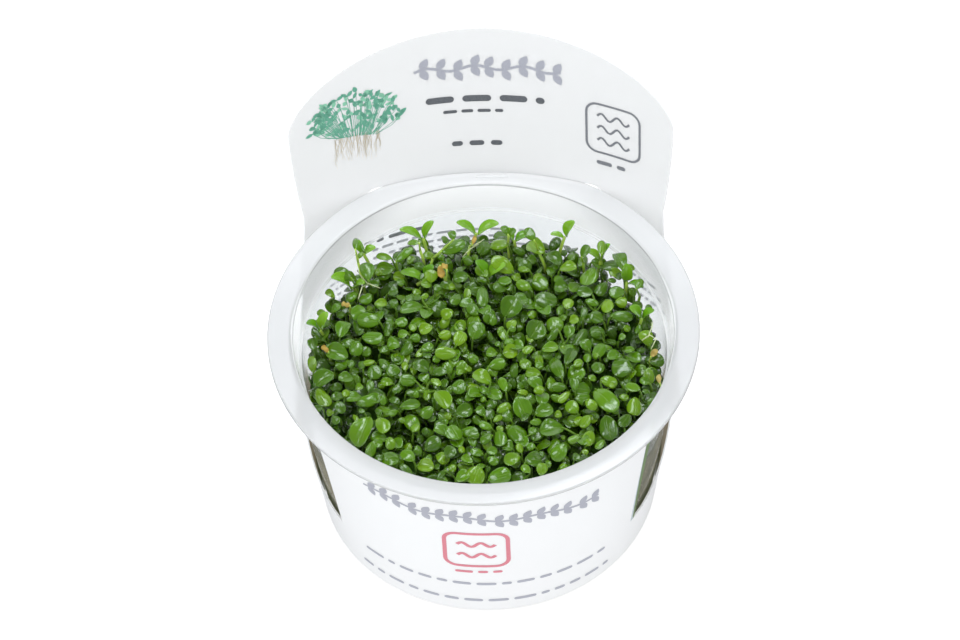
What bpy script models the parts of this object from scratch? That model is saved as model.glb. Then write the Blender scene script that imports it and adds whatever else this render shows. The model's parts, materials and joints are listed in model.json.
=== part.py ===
"""A clear tapered cup of glossostigma, wrapped in a label sleeve whose back panel stands above the rim.

Metres, +Z up. The origin is the middle of the cup's flat base. The back panel stands at +Y, and the front
of the label faces -Y.
"""

import math
import random

import bmesh
import bpy
from mathutils import Matrix, Vector, noise
from mathutils.bvhtree import BVHTree

MM = 0.001
MERGE = 0.01 * MM
GAP = 0.3 * MM

RIM_HEIGHT = 56.0 * MM
FLANGE_RADIUS = 50.0 * MM
FLANGE_UNDERSIDE = 54.8 * MM
MOUTH_RADIUS = 44.1 * MM
LEDGE_HEIGHT = 47.9 * MM
LEDGE_RADIUS = 42.4 * MM
WALL_BEND_HEIGHT = 26.0 * MM
WALL_BEND_RADIUS = 41.3 * MM
FLOOR_RADIUS = 37.0 * MM
FLOOR_THICKNESS = 1.0 * MM
WALL = 0.8 * MM
CUP_STEPS = 40

DIMPLE_CENTRE = (2.0 * MM, 46.2 * MM)
DIMPLE_HALF_SIZES = (3.9 * MM, 0.9 * MM, 0.5 * MM)

SHEET = 0.4 * MM
SLEEVE_FOOT = 0.6 * MM
SLEEVE_FOOT_RADIUS = 39.45 * MM
SLEEVE_TAPER = 0.1245
FRONT_TOP = 54.3 * MM
WINDOW_FOOT = 14.0 * MM
WINDOW_ANGLE = math.radians(55.4)
WINDOW_FLARE = math.radians(2.5)
PANEL_RADIUS = 76.4 * MM
PANEL_HALF_WIDTH = 44.7 * MM
PANEL_SHOULDER = 24.2 * MM
PANEL_PEAK = 42.2 * MM
SIDE_FLARE = 0.185
SIDE_BEND = 0.0033 / MM
PANEL_LEAN = math.radians(12.7)
LEAN_START = 39.0 * MM
ARCH_POWER = 1.89
ARCH_ROOT = 1.8
FRONT_COLUMNS = 12
FRONT_ROWS = 2
BACK_ROWS = 5
PANEL_COLUMNS = 9
PANEL_ROWS = 3
WINDOW_EDGE_ANGLES = (0, 10, 20, 31, 43, 56, 72, 90)

MAT_FOOT = 1.4 * MM
MAT_TOP = 32.0 * MM
CARPET_TOP = 40.6 * MM
CARPET_EDGE_DROP = 1.6 * MM
CARPET_BUMP = 0.9 * MM
CARPET_BUMP_SIZE = 9.0 * MM
CARPET_STEPS = 24

STEM_RADIUS = 0.5 * MM
LEAF_THICKNESS_SHARE = 0.45
LEAF_OVERREACH = 1.08
LEAF_SEGMENTS = 6
LEAF_BANDS = 3
LOW_STEM_HEIGHT = 2.6 * MM
LOW_LEAF_LENGTH = 5.2 * MM
LOW_LEAF_WIDTH = 4.0 * MM

# Feet of the low plantlets, in millimetres from the cup's axis.
LOW_SHOOTS = (
    (-26.0, 16.5),
    (-13.0, 17.0),
    (-1.5, 17.5),
    (12.5, 17.0),
    (26.0, 15.5),
    (-33.5, 3.0),
    (-20.5, 4.5),
    (-7.5, 5.0),
    (5.0, 5.5),
    (18.5, 6.0),
    (32.5, 2.0),
    (-28.0, -9.0),
    (-14.0, -8.0),
    (0.0, -8.5),
    (13.5, -8.0),
    (27.5, -8.5),
    (-22.0, -21.5),
    (-7.5, -20.5),
    (7.0, -21.5),
    (21.5, -21.0),
    (-6.5, -33.0),
    (9.0, -33.0),
)

# Each tall plantlet: the foot of its stem, the stem's top, and its leaves as (tip, width), in millimetres
# from the middle of the cup's base. A foot stands on the carpet, so it has no height of its own.
TALL_SHOOTS = (
    ((-30.0, 23.0), (-31.0, 22.0, 45.0), (((-35.0, 21.0, 51.0), 3.6), ((-28.5, 21.0, 48.5), 2.4))),
    ((-26.0, 28.5), (-28.5, 29.0, 49.0), (((-29.5, 29.5, 53.0), 1.8), ((-25.8, 29.5, 51.0), 2.2))),
    ((-13.5, 34.0), (-14.5, 35.0, 47.0), (((-19.5, 35.5, 50.5), 2.4), ((-12.5, 36.5, 51.5), 2.4))),
    ((-4.0, 35.0), (-1.8, 35.5, 48.0), (((-6.0, 36.5, 51.5), 2.4), ((3.0, 36.5, 51.0), 2.8))),
    ((7.5, 35.0), (7.0, 36.0, 44.5), (((5.0, 37.0, 48.0), 2.2), ((10.5, 36.5, 46.5), 2.6))),
    ((17.0, 32.0), (19.0, 33.5, 48.5), (((20.8, 34.5, 53.0), 2.8), ((15.8, 34.0, 49.5), 1.6))),
    ((26.5, 28.0), (27.5, 28.5, 46.0), (((29.0, 29.0, 51.0), 2.2), ((24.5, 29.5, 48.5), 2.2))),
    ((33.0, 20.5), (33.5, 21.5, 46.0), (((33.5, 22.0, 51.5), 2.8), ((37.0, 18.5, 48.5), 2.0))),
    ((36.0, 11.5), (36.8, 12.0, 44.0), (((34.5, 12.5, 48.0), 3.0), ((39.2, 12.0, 47.5), 2.4))),
    ((-37.5, 10.5), (-38.6, 9.0, 45.5), (((-40.8, 8.0, 50.0), 2.6), ((-37.0, 11.0, 49.5), 2.4))),
    ((0.0, 26.0), (0.5, 26.5, 43.0), (((-1.5, 27.5, 47.5), 2.8), ((4.5, 27.5, 46.5), 3.4))),
    ((-16.0, 26.0), (-14.0, 26.5, 42.0), (((-12.5, 27.5, 46.0), 2.8), ((-19.5, 27.0, 45.0), 2.6))),
)


def clear_scene():
    for old in list(bpy.data.objects):
        bpy.data.objects.remove(old, do_unlink=True)


def collection_named(name):
    made = bpy.data.collections.new(name)
    bpy.context.scene.collection.children.link(made)
    return made


def material(name, colour, roughness, transmission=0.0):
    made = bpy.data.materials.new(name)
    made.use_nodes = True
    shader = made.node_tree.nodes["Principled BSDF"]
    shader.inputs["Base Color"].default_value = (*colour, 1.0)
    shader.inputs["Roughness"].default_value = roughness
    shader.inputs["Metallic"].default_value = 0.0
    shader.inputs["Transmission Weight"].default_value = transmission
    return made


def add_object(name, mesh, collection, finish=None):
    made = bpy.data.objects.new(name, mesh)
    if finish:
        mesh.materials.append(finish)
    collection.objects.link(made)
    return made


def smooth(obj, angle=math.radians(35)):
    obj.data.shade_smooth()
    obj.data.set_sharp_from_angle(angle=angle)


def hide_as_cutter(obj):
    obj.hide_render = True
    obj.display_type = "WIRE"


def add_screw(obj, steps):
    turn = obj.modifiers.new("Turn", "SCREW")
    turn.axis = "Z"
    turn.angle = math.tau
    turn.steps = steps
    turn.render_steps = steps
    turn.use_merge_vertices = True
    turn.merge_threshold = MERGE


def add_boolean(obj, other, operation):
    cut = obj.modifiers.new(other.name, "BOOLEAN")
    cut.operation = operation
    cut.object = other
    cut.solver = "EXACT"


def baked(obj):
    """The object's mesh as its modifiers leave it."""
    bpy.context.view_layer.update()
    graph = bpy.context.evaluated_depsgraph_get()
    return bpy.data.meshes.new_from_object(obj.evaluated_get(graph))


def turned(name, outline, steps, collection, finish=None):
    """A body turned about Z from an outline of (radius, height) that starts and ends on the axis."""
    mesh = bpy.data.meshes.new(name)
    points = [(radius, 0.0, height) for radius, height in outline]
    edges = [(i, i + 1) for i in range(len(points) - 1)]
    mesh.from_pydata(points, edges, [])
    made = add_object(name, mesh, collection, finish)
    add_screw(made, steps)
    return made


def inner_radius(height):
    """Radius of the cup's inner wall up to its ledge."""
    foot_height = 2.0 * FLOOR_THICKNESS
    foot_radius = FLOOR_RADIUS + 1.2 * MM
    if height < WALL_BEND_HEIGHT:
        share = (height - foot_height) / (WALL_BEND_HEIGHT - foot_height)
        return foot_radius + share * (WALL_BEND_RADIUS - foot_radius)
    share = (height - WALL_BEND_HEIGHT) / (LEDGE_HEIGHT - WALL_BEND_HEIGHT)
    return WALL_BEND_RADIUS + share * (LEDGE_RADIUS - WALL_BEND_RADIUS)


def cup_outline():
    inside = [
        (0.0, FLOOR_THICKNESS),
        (FLOOR_RADIUS, FLOOR_THICKNESS),
        (inner_radius(2.0 * FLOOR_THICKNESS), 2.0 * FLOOR_THICKNESS),
        (WALL_BEND_RADIUS, WALL_BEND_HEIGHT),
        (LEDGE_RADIUS, LEDGE_HEIGHT),
        (LEDGE_RADIUS + 0.5 * MM, LEDGE_HEIGHT + 0.3 * MM),
        (MOUTH_RADIUS, RIM_HEIGHT - 0.4 * MM),
    ]
    flange = [
        (MOUTH_RADIUS + 0.5 * MM, RIM_HEIGHT),
        (FLANGE_RADIUS - 0.2 * MM, RIM_HEIGHT),
        (FLANGE_RADIUS, RIM_HEIGHT - 0.2 * MM),
        (FLANGE_RADIUS, FLANGE_UNDERSIDE + 0.2 * MM),
        (FLANGE_RADIUS - 0.4 * MM, FLANGE_UNDERSIDE),
    ]
    outside = [
        (MOUTH_RADIUS + 0.9 * MM, FLANGE_UNDERSIDE),
        (MOUTH_RADIUS + 0.7 * MM, RIM_HEIGHT - 3.0 * MM),
        (LEDGE_RADIUS + 1.2 * MM, LEDGE_HEIGHT - 0.4 * MM),
        (LEDGE_RADIUS + 0.9 * MM, LEDGE_HEIGHT - 1.9 * MM),
        (WALL_BEND_RADIUS + WALL, WALL_BEND_HEIGHT),
        (FLOOR_RADIUS + 2.0 * MM, 1.5 * MM),
        (FLOOR_RADIUS + 1.8 * MM, 0.6 * MM),
        (FLOOR_RADIUS + 1.0 * MM, 0.0),
        (0.0, 0.0),
    ]
    return inside + flange + outside


def make_cup(parts, cutters, finish):
    cup = turned("cup", cup_outline(), CUP_STEPS, parts, finish)
    bm = bmesh.new()
    bmesh.ops.create_uvsphere(bm, u_segments=12, v_segments=8, radius=1.0)
    bmesh.ops.scale(bm, vec=Vector(DIMPLE_HALF_SIZES), verts=bm.verts)
    mesh = bpy.data.meshes.new("dimple_cutter")
    bm.to_mesh(mesh)
    bm.free()
    dimple = add_object("dimple_cutter", mesh, cutters)
    dimple.location = (*DIMPLE_CENTRE, RIM_HEIGHT)
    hide_as_cutter(dimple)
    add_boolean(cup, dimple, "DIFFERENCE")
    return cup


def cone_radius(height):
    """Inner radius of the sleeve where it hugs the cup."""
    return SLEEVE_FOOT_RADIUS + SLEEVE_TAPER * (height - SLEEVE_FOOT)


def back_line(height):
    """Distance from the axis to the sheet's inner face on the plane of symmetry, which leans back smoothly."""
    extra_slope = math.tan(PANEL_LEAN) - SLEEVE_TAPER
    bend = RIM_HEIGHT - LEAN_START
    if height < LEAN_START:
        return cone_radius(height)
    if height < RIM_HEIGHT:
        return cone_radius(height) + extra_slope * (height - LEAN_START) ** 2 / (2.0 * bend)
    return cone_radius(height) + extra_slope * (height - RIM_HEIGHT + bend / 2.0)


def sheet_radius(height):
    """Radius to which the sheet curves: the cone's at the window's foot, and the panel's at the rim."""
    if height > RIM_HEIGHT:
        return PANEL_RADIUS + math.tan(PANEL_LEAN) * (height - RIM_HEIGHT)
    share = max(0.0, (height - WINDOW_FOOT) / (RIM_HEIGHT - WINDOW_FOOT))
    blend = share * share * (3.0 - 2.0 * share)
    return 1.0 / ((1.0 - blend) / cone_radius(height) + blend / PANEL_RADIUS)


def sheet_point(along, height):
    """A point of the back sheet, at a length along its arc from the plane of symmetry."""
    radius = sheet_radius(height)
    turn = along / radius
    return Vector(
        (
            radius * math.sin(turn),
            back_line(height) - radius + radius * math.cos(turn),
            height,
        )
    )


def cone_point(angle, height):
    """A point of the sleeve's front, at an angle from -Y towards +X."""
    radius = cone_radius(height)
    return Vector((radius * math.sin(angle), -radius * math.cos(angle), height))


def window_edge():
    """(length along the arc, height) from the window's tip up to the panel's side edge at the rim."""
    tip = (math.pi - WINDOW_ANGLE) * cone_radius(WINDOW_FOOT)
    edge = []
    for degrees in WINDOW_EDGE_ANGLES:
        turn = math.radians(degrees)
        along = tip - (tip - PANEL_HALF_WIDTH) * math.sin(turn)
        edge.append((along, WINDOW_FOOT + (RIM_HEIGHT - WINDOW_FOOT) * (1.0 - math.cos(turn))))
    return edge


def arch_height(along):
    """Height of the panel's rounded top at a length along its arc."""
    shoulder = RIM_HEIGHT + PANEL_SHOULDER * math.cos(PANEL_LEAN)
    rise = (PANEL_PEAK - PANEL_SHOULDER) * math.cos(PANEL_LEAN)
    share = min(1.0, abs(along) / PANEL_HALF_WIDTH)
    return shoulder + rise * (1.0 - share**ARCH_POWER) ** (1.0 / ARCH_ROOT)


def panel_point(along, height):
    """A point of the panel, which widens a little above the rim; along is its length along the rim's arc."""
    slant = (height - RIM_HEIGHT) / math.cos(PANEL_LEAN)
    wider = slant * (SIDE_FLARE - SIDE_BEND * slant)
    return sheet_point(along * (1.0 + wider / PANEL_HALF_WIDTH), height)


def sleeve_surface():
    """The sleeve's inner face: a closed band, the front above it, and the back sheet with its arch."""
    bm = bmesh.new()

    def column(points):
        return [bm.verts.new(point) for point in points]

    def bridge(left, right):
        for i in range(len(left) - 1):
            bm.faces.new((left[i], right[i], right[i + 1], left[i + 1]))

    def spread(low, high, rows):
        return [low + (high - low) * i / rows for i in range(rows + 1)]

    edge = window_edge()
    tip = edge[0][0]
    panel = [
        PANEL_HALF_WIDTH * math.sin(math.pi / 2.0 * i / PANEL_COLUMNS)
        for i in range(1 - PANEL_COLUMNS, PANEL_COLUMNS)
    ]

    # The back sheet's columns run from the +X tip round to the -X tip.
    back = [column([sheet_point(tip, WINDOW_FOOT)])]
    for along, top in edge[1:]:
        back.append(column([sheet_point(along, z) for z in spread(WINDOW_FOOT, top, BACK_ROWS)]))
    for along in reversed(panel):
        heights = spread(WINDOW_FOOT, RIM_HEIGHT, BACK_ROWS)
        back.append(column([sheet_point(along, z) for z in heights]))
    for along, top in reversed(edge[1:]):
        back.append(column([sheet_point(-along, z) for z in spread(WINDOW_FOOT, top, BACK_ROWS)]))
    back.append(column([sheet_point(-tip, WINDOW_FOOT)]))
    for left, right in zip(back[1:], back[2:-1]):
        bridge(left, right)
    for point, side, order in ((back[0][0], back[1], 1), (back[-1][0], back[-2], -1)):
        for i in range(BACK_ROWS):
            bm.faces.new((point, side[i], side[i + 1])[::order])

    # The panel above the rim stands on the middle columns.
    standing = []
    sides = len(edge) - 1
    lengths = [PANEL_HALF_WIDTH, *reversed(panel), -PANEL_HALF_WIDTH]
    for along, below in zip(lengths, back[sides : sides + len(lengths)]):
        heights = spread(RIM_HEIGHT, arch_height(along), PANEL_ROWS)
        standing.append([below[-1], *column([panel_point(along, z) for z in heights[1:]])])
    for left, right in zip(standing, standing[1:]):
        bridge(left, right)

    # The front's columns run from the -X tip round to the +X tip and end under the flange.
    front = []
    for i in range(FRONT_COLUMNS + 1):
        share = 2.0 * i / FRONT_COLUMNS - 1.0
        points = []
        for height in spread(WINDOW_FOOT, FRONT_TOP, FRONT_ROWS):
            rise = (height - WINDOW_FOOT) / (RIM_HEIGHT - WINDOW_FOOT)
            points.append(cone_point(share * (WINDOW_ANGLE + WINDOW_FLARE * rise**1.5), height))
        if abs(share) == 1.0:
            shared = back[-1][0] if share < 0.0 else back[0][0]
            front.append([shared, *column(points[1:])])
        else:
            front.append(column(points))
    for left, right in zip(front, front[1:]):
        bridge(left, right)

    # The band below both is one closed ring.
    ring = [points[0] for points in front] + [points[0] for points in back[1:-1]]
    foot = []
    for above in ring:
        angle = math.atan2(above.co.x, -above.co.y)
        foot.extend(column([cone_point(angle, SLEEVE_FOOT)]))
    for i in range(len(ring)):
        j = (i + 1) % len(ring)
        bm.faces.new((foot[i], foot[j], ring[j], ring[i]))

    mesh = bpy.data.meshes.new("label_sleeve")
    bm.to_mesh(mesh)
    bm.free()
    return mesh


def make_sleeve(parts, cutters, finish):
    sleeve = add_object("label_sleeve", sleeve_surface(), parts, finish)
    smooth(sleeve)
    shell = sleeve.modifiers.new("Sheet", "SOLIDIFY")
    shell.thickness = SHEET
    shell.offset = 1.0
    slot_half = (RIM_HEIGHT - FLANGE_UNDERSIDE) / 2.0 + 1.2 * GAP
    bm = bmesh.new()
    bmesh.ops.create_cone(
        bm,
        cap_ends=True,
        segments=2 * CUP_STEPS,
        radius1=FLANGE_RADIUS + 1.3 * GAP,
        radius2=FLANGE_RADIUS + 1.3 * GAP,
        depth=2.0 * slot_half,
    )
    mesh = bpy.data.meshes.new("slot_cutter")
    bm.to_mesh(mesh)
    bm.free()
    slot = add_object("slot_cutter", mesh, cutters)
    slot.location.z = (RIM_HEIGHT + FLANGE_UNDERSIDE) / 2.0
    hide_as_cutter(slot)
    add_boolean(sleeve, slot, "DIFFERENCE")
    return sleeve


def make_root_mat(parts, finish):
    outline = [
        (0.0, MAT_TOP - GAP),
        (inner_radius(MAT_TOP) - 3.0 * GAP, MAT_TOP - GAP),
        (inner_radius(MAT_TOP) - 1.5 * GAP, MAT_TOP - 3.0 * GAP),
        (WALL_BEND_RADIUS - 1.5 * GAP, WALL_BEND_HEIGHT),
        (inner_radius(2.0 * FLOOR_THICKNESS) - 1.5 * GAP, MAT_FOOT + 1.5 * MM),
        (FLOOR_RADIUS - 1.5 * GAP, MAT_FOOT),
        (0.0, MAT_FOOT),
    ]
    return turned("root_mat", outline, CARPET_STEPS, parts, finish)


def carpet_bump(point):
    return CARPET_BUMP * noise.noise(Vector((point.x, point.y, 0.0)) / CARPET_BUMP_SIZE)


def make_leaf_carpet(parts, finish):
    edge = inner_radius(CARPET_TOP) - 1.7 * GAP
    outline = []
    for share in (0.0, 0.2, 0.4, 0.6, 0.8, 0.93):
        outline.append((share * edge, CARPET_TOP - CARPET_EDGE_DROP * share**3))
    outline.append((edge, CARPET_TOP - 1.6 * CARPET_EDGE_DROP))
    outline.append((inner_radius(MAT_TOP) - 1.7 * GAP, MAT_TOP + 1.0 * MM))
    outline.append((inner_radius(MAT_TOP) - 4.0 * GAP, MAT_TOP))
    outline.append((0.0, MAT_TOP))
    blank = turned("leaf_carpet_blank", outline, CARPET_STEPS, parts)
    mesh = baked(blank)
    bpy.data.objects.remove(blank)
    for vertex in mesh.vertices:
        if vertex.co.z > CARPET_TOP - 1.3 * CARPET_EDGE_DROP:
            vertex.co.z += carpet_bump(vertex.co)
    mesh.name = "leaf_carpet"
    carpet = add_object("leaf_carpet", mesh, parts, finish)
    smooth(carpet)
    return carpet


def surface_height(carpet):
    """A function that gives the carpet's height under a point, read from its mesh."""
    mesh = carpet.data
    tree = BVHTree.FromPolygons(
        [vertex.co for vertex in mesh.vertices],
        [tuple(polygon.vertices) for polygon in mesh.polygons],
    )

    def height(x, y):
        hit = tree.ray_cast(Vector((x, y, RIM_HEIGHT)), Vector((0.0, 0.0, -1.0)))
        return hit[0].z

    return height


def leaf_piece(start, tip, width):
    """A flattened egg from a stem's top to a leaf's tip, its blade as level as that line allows."""
    line = tip - start
    along = line.normalized()
    side = along.cross(Vector((0.0, 0.0, 1.0)))
    if side.length < 0.3:
        side = Vector((1.0, 0.0, 0.0)) - along * along.x
    side.normalize()
    down = along.cross(side)
    bm = bmesh.new()
    bmesh.ops.create_uvsphere(bm, u_segments=LEAF_SEGMENTS, v_segments=LEAF_BANDS, radius=0.5)
    sizes = Vector((width, width * LEAF_THICKNESS_SHARE, line.length * LEAF_OVERREACH))
    bmesh.ops.scale(bm, vec=sizes, verts=bm.verts)
    turn = Matrix((side, down, along)).transposed()
    bmesh.ops.rotate(bm, cent=(0.0, 0.0, 0.0), matrix=turn, verts=bm.verts)
    bmesh.ops.translate(bm, vec=(start + tip) / 2.0, verts=bm.verts)
    return bm


def stem_piece(*places):
    """A stem with five sides, from its foot through the places above it."""
    bm = bmesh.new()
    rings = []
    for number, place in enumerate(places):
        radius = STEM_RADIUS * (1.1 - 0.1 * number)
        ring = bmesh.ops.create_circle(bm, segments=5, radius=radius)["verts"]
        bmesh.ops.translate(bm, vec=place, verts=ring)
        rings.append(ring)
    for lower, upper in zip(rings, rings[1:]):
        for i in range(5):
            j = (i + 1) % 5
            bm.faces.new((lower[i], lower[j], upper[j], upper[i]))
    bm.faces.new(list(reversed(rings[0])))
    bm.faces.new(rings[-1])
    bmesh.ops.recalc_face_normals(bm, faces=bm.faces)
    return bm


def fused(name, pieces, parts, finish):
    """One body from several closed pieces that overlap."""
    made = []
    for i, bm in enumerate(pieces):
        mesh = bpy.data.meshes.new(f"{name}_piece_{i}")
        bm.to_mesh(mesh)
        bm.free()
        made.append(add_object(mesh.name, mesh, parts))
    for other in made[1:]:
        add_boolean(made[0], other, "UNION")
    mesh = baked(made[0])
    for old in made:
        bpy.data.objects.remove(old)
    mesh.name = name
    shoot = add_object(name, mesh, parts, finish)
    smooth(shoot, math.radians(60))
    return shoot


def make_low_shoots(parts, carpet_height, finish):
    rng = random.Random(7)
    for number, (x, y) in enumerate(LOW_SHOOTS, 1):
        x *= MM
        y *= MM
        foot = Vector((x, y, carpet_height(x, y) + 2.0 * GAP))
        top = foot + Vector((0.0, 0.0, LOW_STEM_HEIGHT))
        turn = rng.uniform(0.0, math.pi)
        size = rng.uniform(0.82, 1.0)
        pieces = [stem_piece(foot, top)]
        for quarter in range(4):
            angle = turn + quarter * math.pi / 2.0
            pitch = rng.uniform(0.3, 0.75)
            length = LOW_LEAF_LENGTH * size * (1.0 if quarter % 2 == 0 else 0.8)
            reach = Vector((math.cos(angle), math.sin(angle), pitch)).normalized() * length
            start = top - Vector((0.0, 0.0, 0.3 * MM * quarter))
            pieces.append(leaf_piece(start, start + reach, LOW_LEAF_WIDTH * size))
        fused(f"low_shoot_{number:02d}", pieces, parts, finish)


def make_tall_shoots(parts, carpet_height, finish):
    for number, (foot_place, top_place, leaves) in enumerate(TALL_SHOOTS, 1):
        x = foot_place[0] * MM
        y = foot_place[1] * MM
        foot = Vector((x, y, carpet_height(x, y) + 2.0 * GAP))
        top = Vector(top_place) * MM
        bend = foot.lerp(top, 0.3)
        bend.z = (foot.z + top.z) / 2.0
        pieces = [stem_piece(foot, bend, top)]
        for tip, width in leaves:
            pieces.append(leaf_piece(top, Vector(tip) * MM, width * MM))
        fused(f"tall_shoot_{number:02d}", pieces, parts, finish)


def main():
    clear_scene()
    parts = collection_named("glossostigma_cup")
    cutters = collection_named("cutters")
    make_cup(parts, cutters, material("clear_plastic", (0.90, 0.92, 0.94), 0.12, 0.9))
    make_sleeve(parts, cutters, material("label_sheet", (0.90, 0.91, 0.93), 0.35))
    make_root_mat(parts, material("roots_and_medium", (0.16, 0.12, 0.08), 0.8))
    carpet = make_leaf_carpet(parts, material("leaf_tangle", (0.05, 0.13, 0.02), 0.5))
    carpet_height = surface_height(carpet)
    make_low_shoots(parts, carpet_height, material("low_leaves", (0.10, 0.30, 0.04), 0.3))
    make_tall_shoots(parts, carpet_height, material("tall_leaves", (0.22, 0.42, 0.07), 0.3))


main()
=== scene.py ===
"""Looks for the glossostigma cup: the clear cup, its label sleeve, the roots and the leaves.

They stand on a pale floor under soft light. Lengths are in metres, unless a comment says otherwise.
"""

import json
import math
import random

import bmesh
import bpy
import numpy as np
from mathutils import Euler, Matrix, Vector, noise

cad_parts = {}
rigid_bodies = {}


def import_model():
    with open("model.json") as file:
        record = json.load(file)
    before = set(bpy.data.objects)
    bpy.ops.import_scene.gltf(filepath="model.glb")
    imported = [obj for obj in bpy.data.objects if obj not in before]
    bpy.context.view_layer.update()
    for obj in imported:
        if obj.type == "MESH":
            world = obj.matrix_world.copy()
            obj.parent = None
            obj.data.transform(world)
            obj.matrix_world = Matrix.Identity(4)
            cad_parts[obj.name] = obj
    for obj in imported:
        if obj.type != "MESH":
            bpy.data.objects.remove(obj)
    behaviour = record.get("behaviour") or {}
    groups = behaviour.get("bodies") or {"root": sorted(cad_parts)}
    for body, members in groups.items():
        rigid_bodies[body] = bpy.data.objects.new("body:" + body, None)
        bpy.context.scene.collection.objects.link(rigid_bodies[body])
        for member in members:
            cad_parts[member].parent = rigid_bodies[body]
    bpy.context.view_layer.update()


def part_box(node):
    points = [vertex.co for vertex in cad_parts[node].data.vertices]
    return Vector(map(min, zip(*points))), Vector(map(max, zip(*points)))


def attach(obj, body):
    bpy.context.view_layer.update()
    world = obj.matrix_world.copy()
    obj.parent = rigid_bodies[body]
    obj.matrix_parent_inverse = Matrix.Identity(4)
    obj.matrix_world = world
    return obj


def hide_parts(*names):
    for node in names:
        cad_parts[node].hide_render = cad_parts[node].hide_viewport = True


for old in list(bpy.data.objects):
    bpy.data.objects.remove(old)

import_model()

MM = 0.001

# The camera, worked out from the outlines of the flange and the sleeve.
IMAGE_WIDTH = 960
IMAGE_HEIGHT = 640
LENS = 194.746
SENSOR = 36.0
CAMERA_PLACE = Vector((26.071, -746.563, 995.130)) * MM
CAMERA_TURN = Euler([math.radians(a) for a in (38.580, 1.584, 0.066)])

# The studio: the world's light in front and behind, the share of it that reflections see, the floor, and the
# lamps by name, place, size and power.
FRONT_LIGHT = 1.0
BACK_LIGHT = 0.8
REFLECTED_LIGHT = 0.14
FLOOR_REACH = 6.0
FLOOR_GLOW = 0.62
LAMPS = (
    ("box_top", (-0.1, 0.1, 1.2), (0.3, 0.4), 2.4),
    ("box_back", (0.12, 0.45, 1.12), (0.28, 0.4), 2.4),
    ("box_left", (-0.7, -0.2, 0.95), (0.3, 0.4), 2.2),
    ("box_right", (0.62, -0.1, 1.0), (0.24, 0.34), 1.0),
)

# The cup.
RIM_HEIGHT = 56.0 * MM
FLANGE_RADIUS = 50.0 * MM
FLANGE_UNDERSIDE = 54.8 * MM
MOUTH_RADIUS = 44.1 * MM
LEDGE_HEIGHT = 47.9 * MM
LEDGE_RADIUS = 42.4 * MM
WALL_BEND_HEIGHT = 26.0 * MM
WALL_BEND_RADIUS = 41.3 * MM
FLOOR_RADIUS = 37.0 * MM
FLOOR_THICKNESS = 1.0 * MM
WALL = 0.8 * MM
CUP_STEPS = 160
DIMPLE_CENTRE = (2.0 * MM, 46.2 * MM)
DIMPLE_HALF_SIZES = (3.9 * MM, 0.9 * MM, 0.5 * MM)
# A thin ring at the mouth's edge is painted darker: a painted shade line.
MOUTH_LINE_WIDTH = 0.14 * MM
MOUTH_LINE_DEPTH = 0.62 * MM
FROST_FOOT = LEDGE_HEIGHT + 0.35 * MM
FROST_TOP = RIM_HEIGHT - 1.6 * MM

# The sleeve, its windows and its standing panel.
SHEET = 0.4 * MM
SLEEVE_FOOT = 0.6 * MM
SLEEVE_FOOT_RADIUS = 39.45 * MM
SLEEVE_TAPER = 0.1245
FRONT_TOP = 54.3 * MM
SLOT_GAP = 0.39 * MM
SLOT_HALF_HEIGHT = (RIM_HEIGHT - FLANGE_UNDERSIDE) / 2.0 + 0.36 * MM
WINDOW_FOOT = 14.0 * MM
WINDOW_ANGLE = math.radians(55.4)
WINDOW_FLARE = math.radians(2.5)
PANEL_RADIUS = 76.4 * MM
PANEL_HALF_WIDTH = 44.7 * MM
PANEL_SHOULDER = 24.2 * MM
PANEL_PEAK = 42.2 * MM
SIDE_FLARE = 0.185
SIDE_BEND = 0.0033 / MM
PANEL_LEAN = math.radians(12.7)
LEAN_START = 39.0 * MM
ARCH_POWER = 1.89
ARCH_ROOT = 1.8
FRONT_COLUMNS = 56
FRONT_ROWS = 8
BACK_ROWS = 16
PANEL_COLUMNS = 26
PANEL_ROWS = 10
WINDOW_EDGE_STEPS = 24
MARGIN_TURN = 2.0 * WINDOW_ANGLE / FRONT_COLUMNS
# Where the sheet's inner face takes the taupe backing with its painted glow.
BACKING_TOP = 36.0 * MM
BACKING_END = 12.0 * MM

# Painted light in the card and the rim. Inside the first distance from the axis and below the first height,
# the card hugs the cup; there it is painted paler, with a painted glow standing in for light that comes
# through it; past the second of either it stands free. The painted glow grows a little more under the flange.
# The rim carries a painted glow for that light, growing between these distances behind and in front of the
# axis.
PAINTED_HUGGING_TONE = 0.93
PAINTED_THROUGH_GLOW = 0.3
FREE_DISTANCES = (46.5 * MM, 50.0 * MM)
FREE_HEIGHTS = (54.5 * MM, 56.2 * MM)
UNDER_FLANGE = (45.0 * MM, 54.0 * MM)
PAINTED_UNDER_FLANGE_GLOW = 0.14
RIM_GLOW_BACK = (0.0, 42.0 * MM)
RIM_GLOW_FRONT = (-5.0 * MM, -45.0 * MM)

# The print, in millimetres on the sheet, but for the ink's height off it. Each ink: its name, its colour, and
# the strength of its painted glow, which stands in for light coming through the card.
INK = 0.05 * MM
STROKE_STEP = 0.8
SHORTEST_BAR = 1.5
ROUND_STEPS = 6
TUFT_MIDDLE = -30.0
TUFT_STALKS = 90
TUFT_ROOTS = 44
INKS = (
    ("pale_grey_ink", (0.42, 0.43, 0.50), 0.0),
    ("grey_ink", (0.20, 0.21, 0.24), 0.0),
    ("dark_grey_ink", (0.09, 0.10, 0.12), 0.0),
    ("rose_ink", (0.74, 0.20, 0.26), 0.0),
    ("teal_ink", (0.10, 0.42, 0.28), 0.0),
    ("mint_ink", (0.24, 0.62, 0.42), 0.0),
    ("tan_ink", (0.62, 0.54, 0.40), 0.0),
    # These two inks carry a painted glow, for print on the card's inner face.
    ("pale_grey_ink_painted_glow", (0.72, 0.73, 0.77), 0.34),
    ("heading_grey_ink", (0.42, 0.43, 0.47), 0.18),
    ("green_film_tint", (0.15, 0.25, 0.08), 0.0),
)
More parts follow.
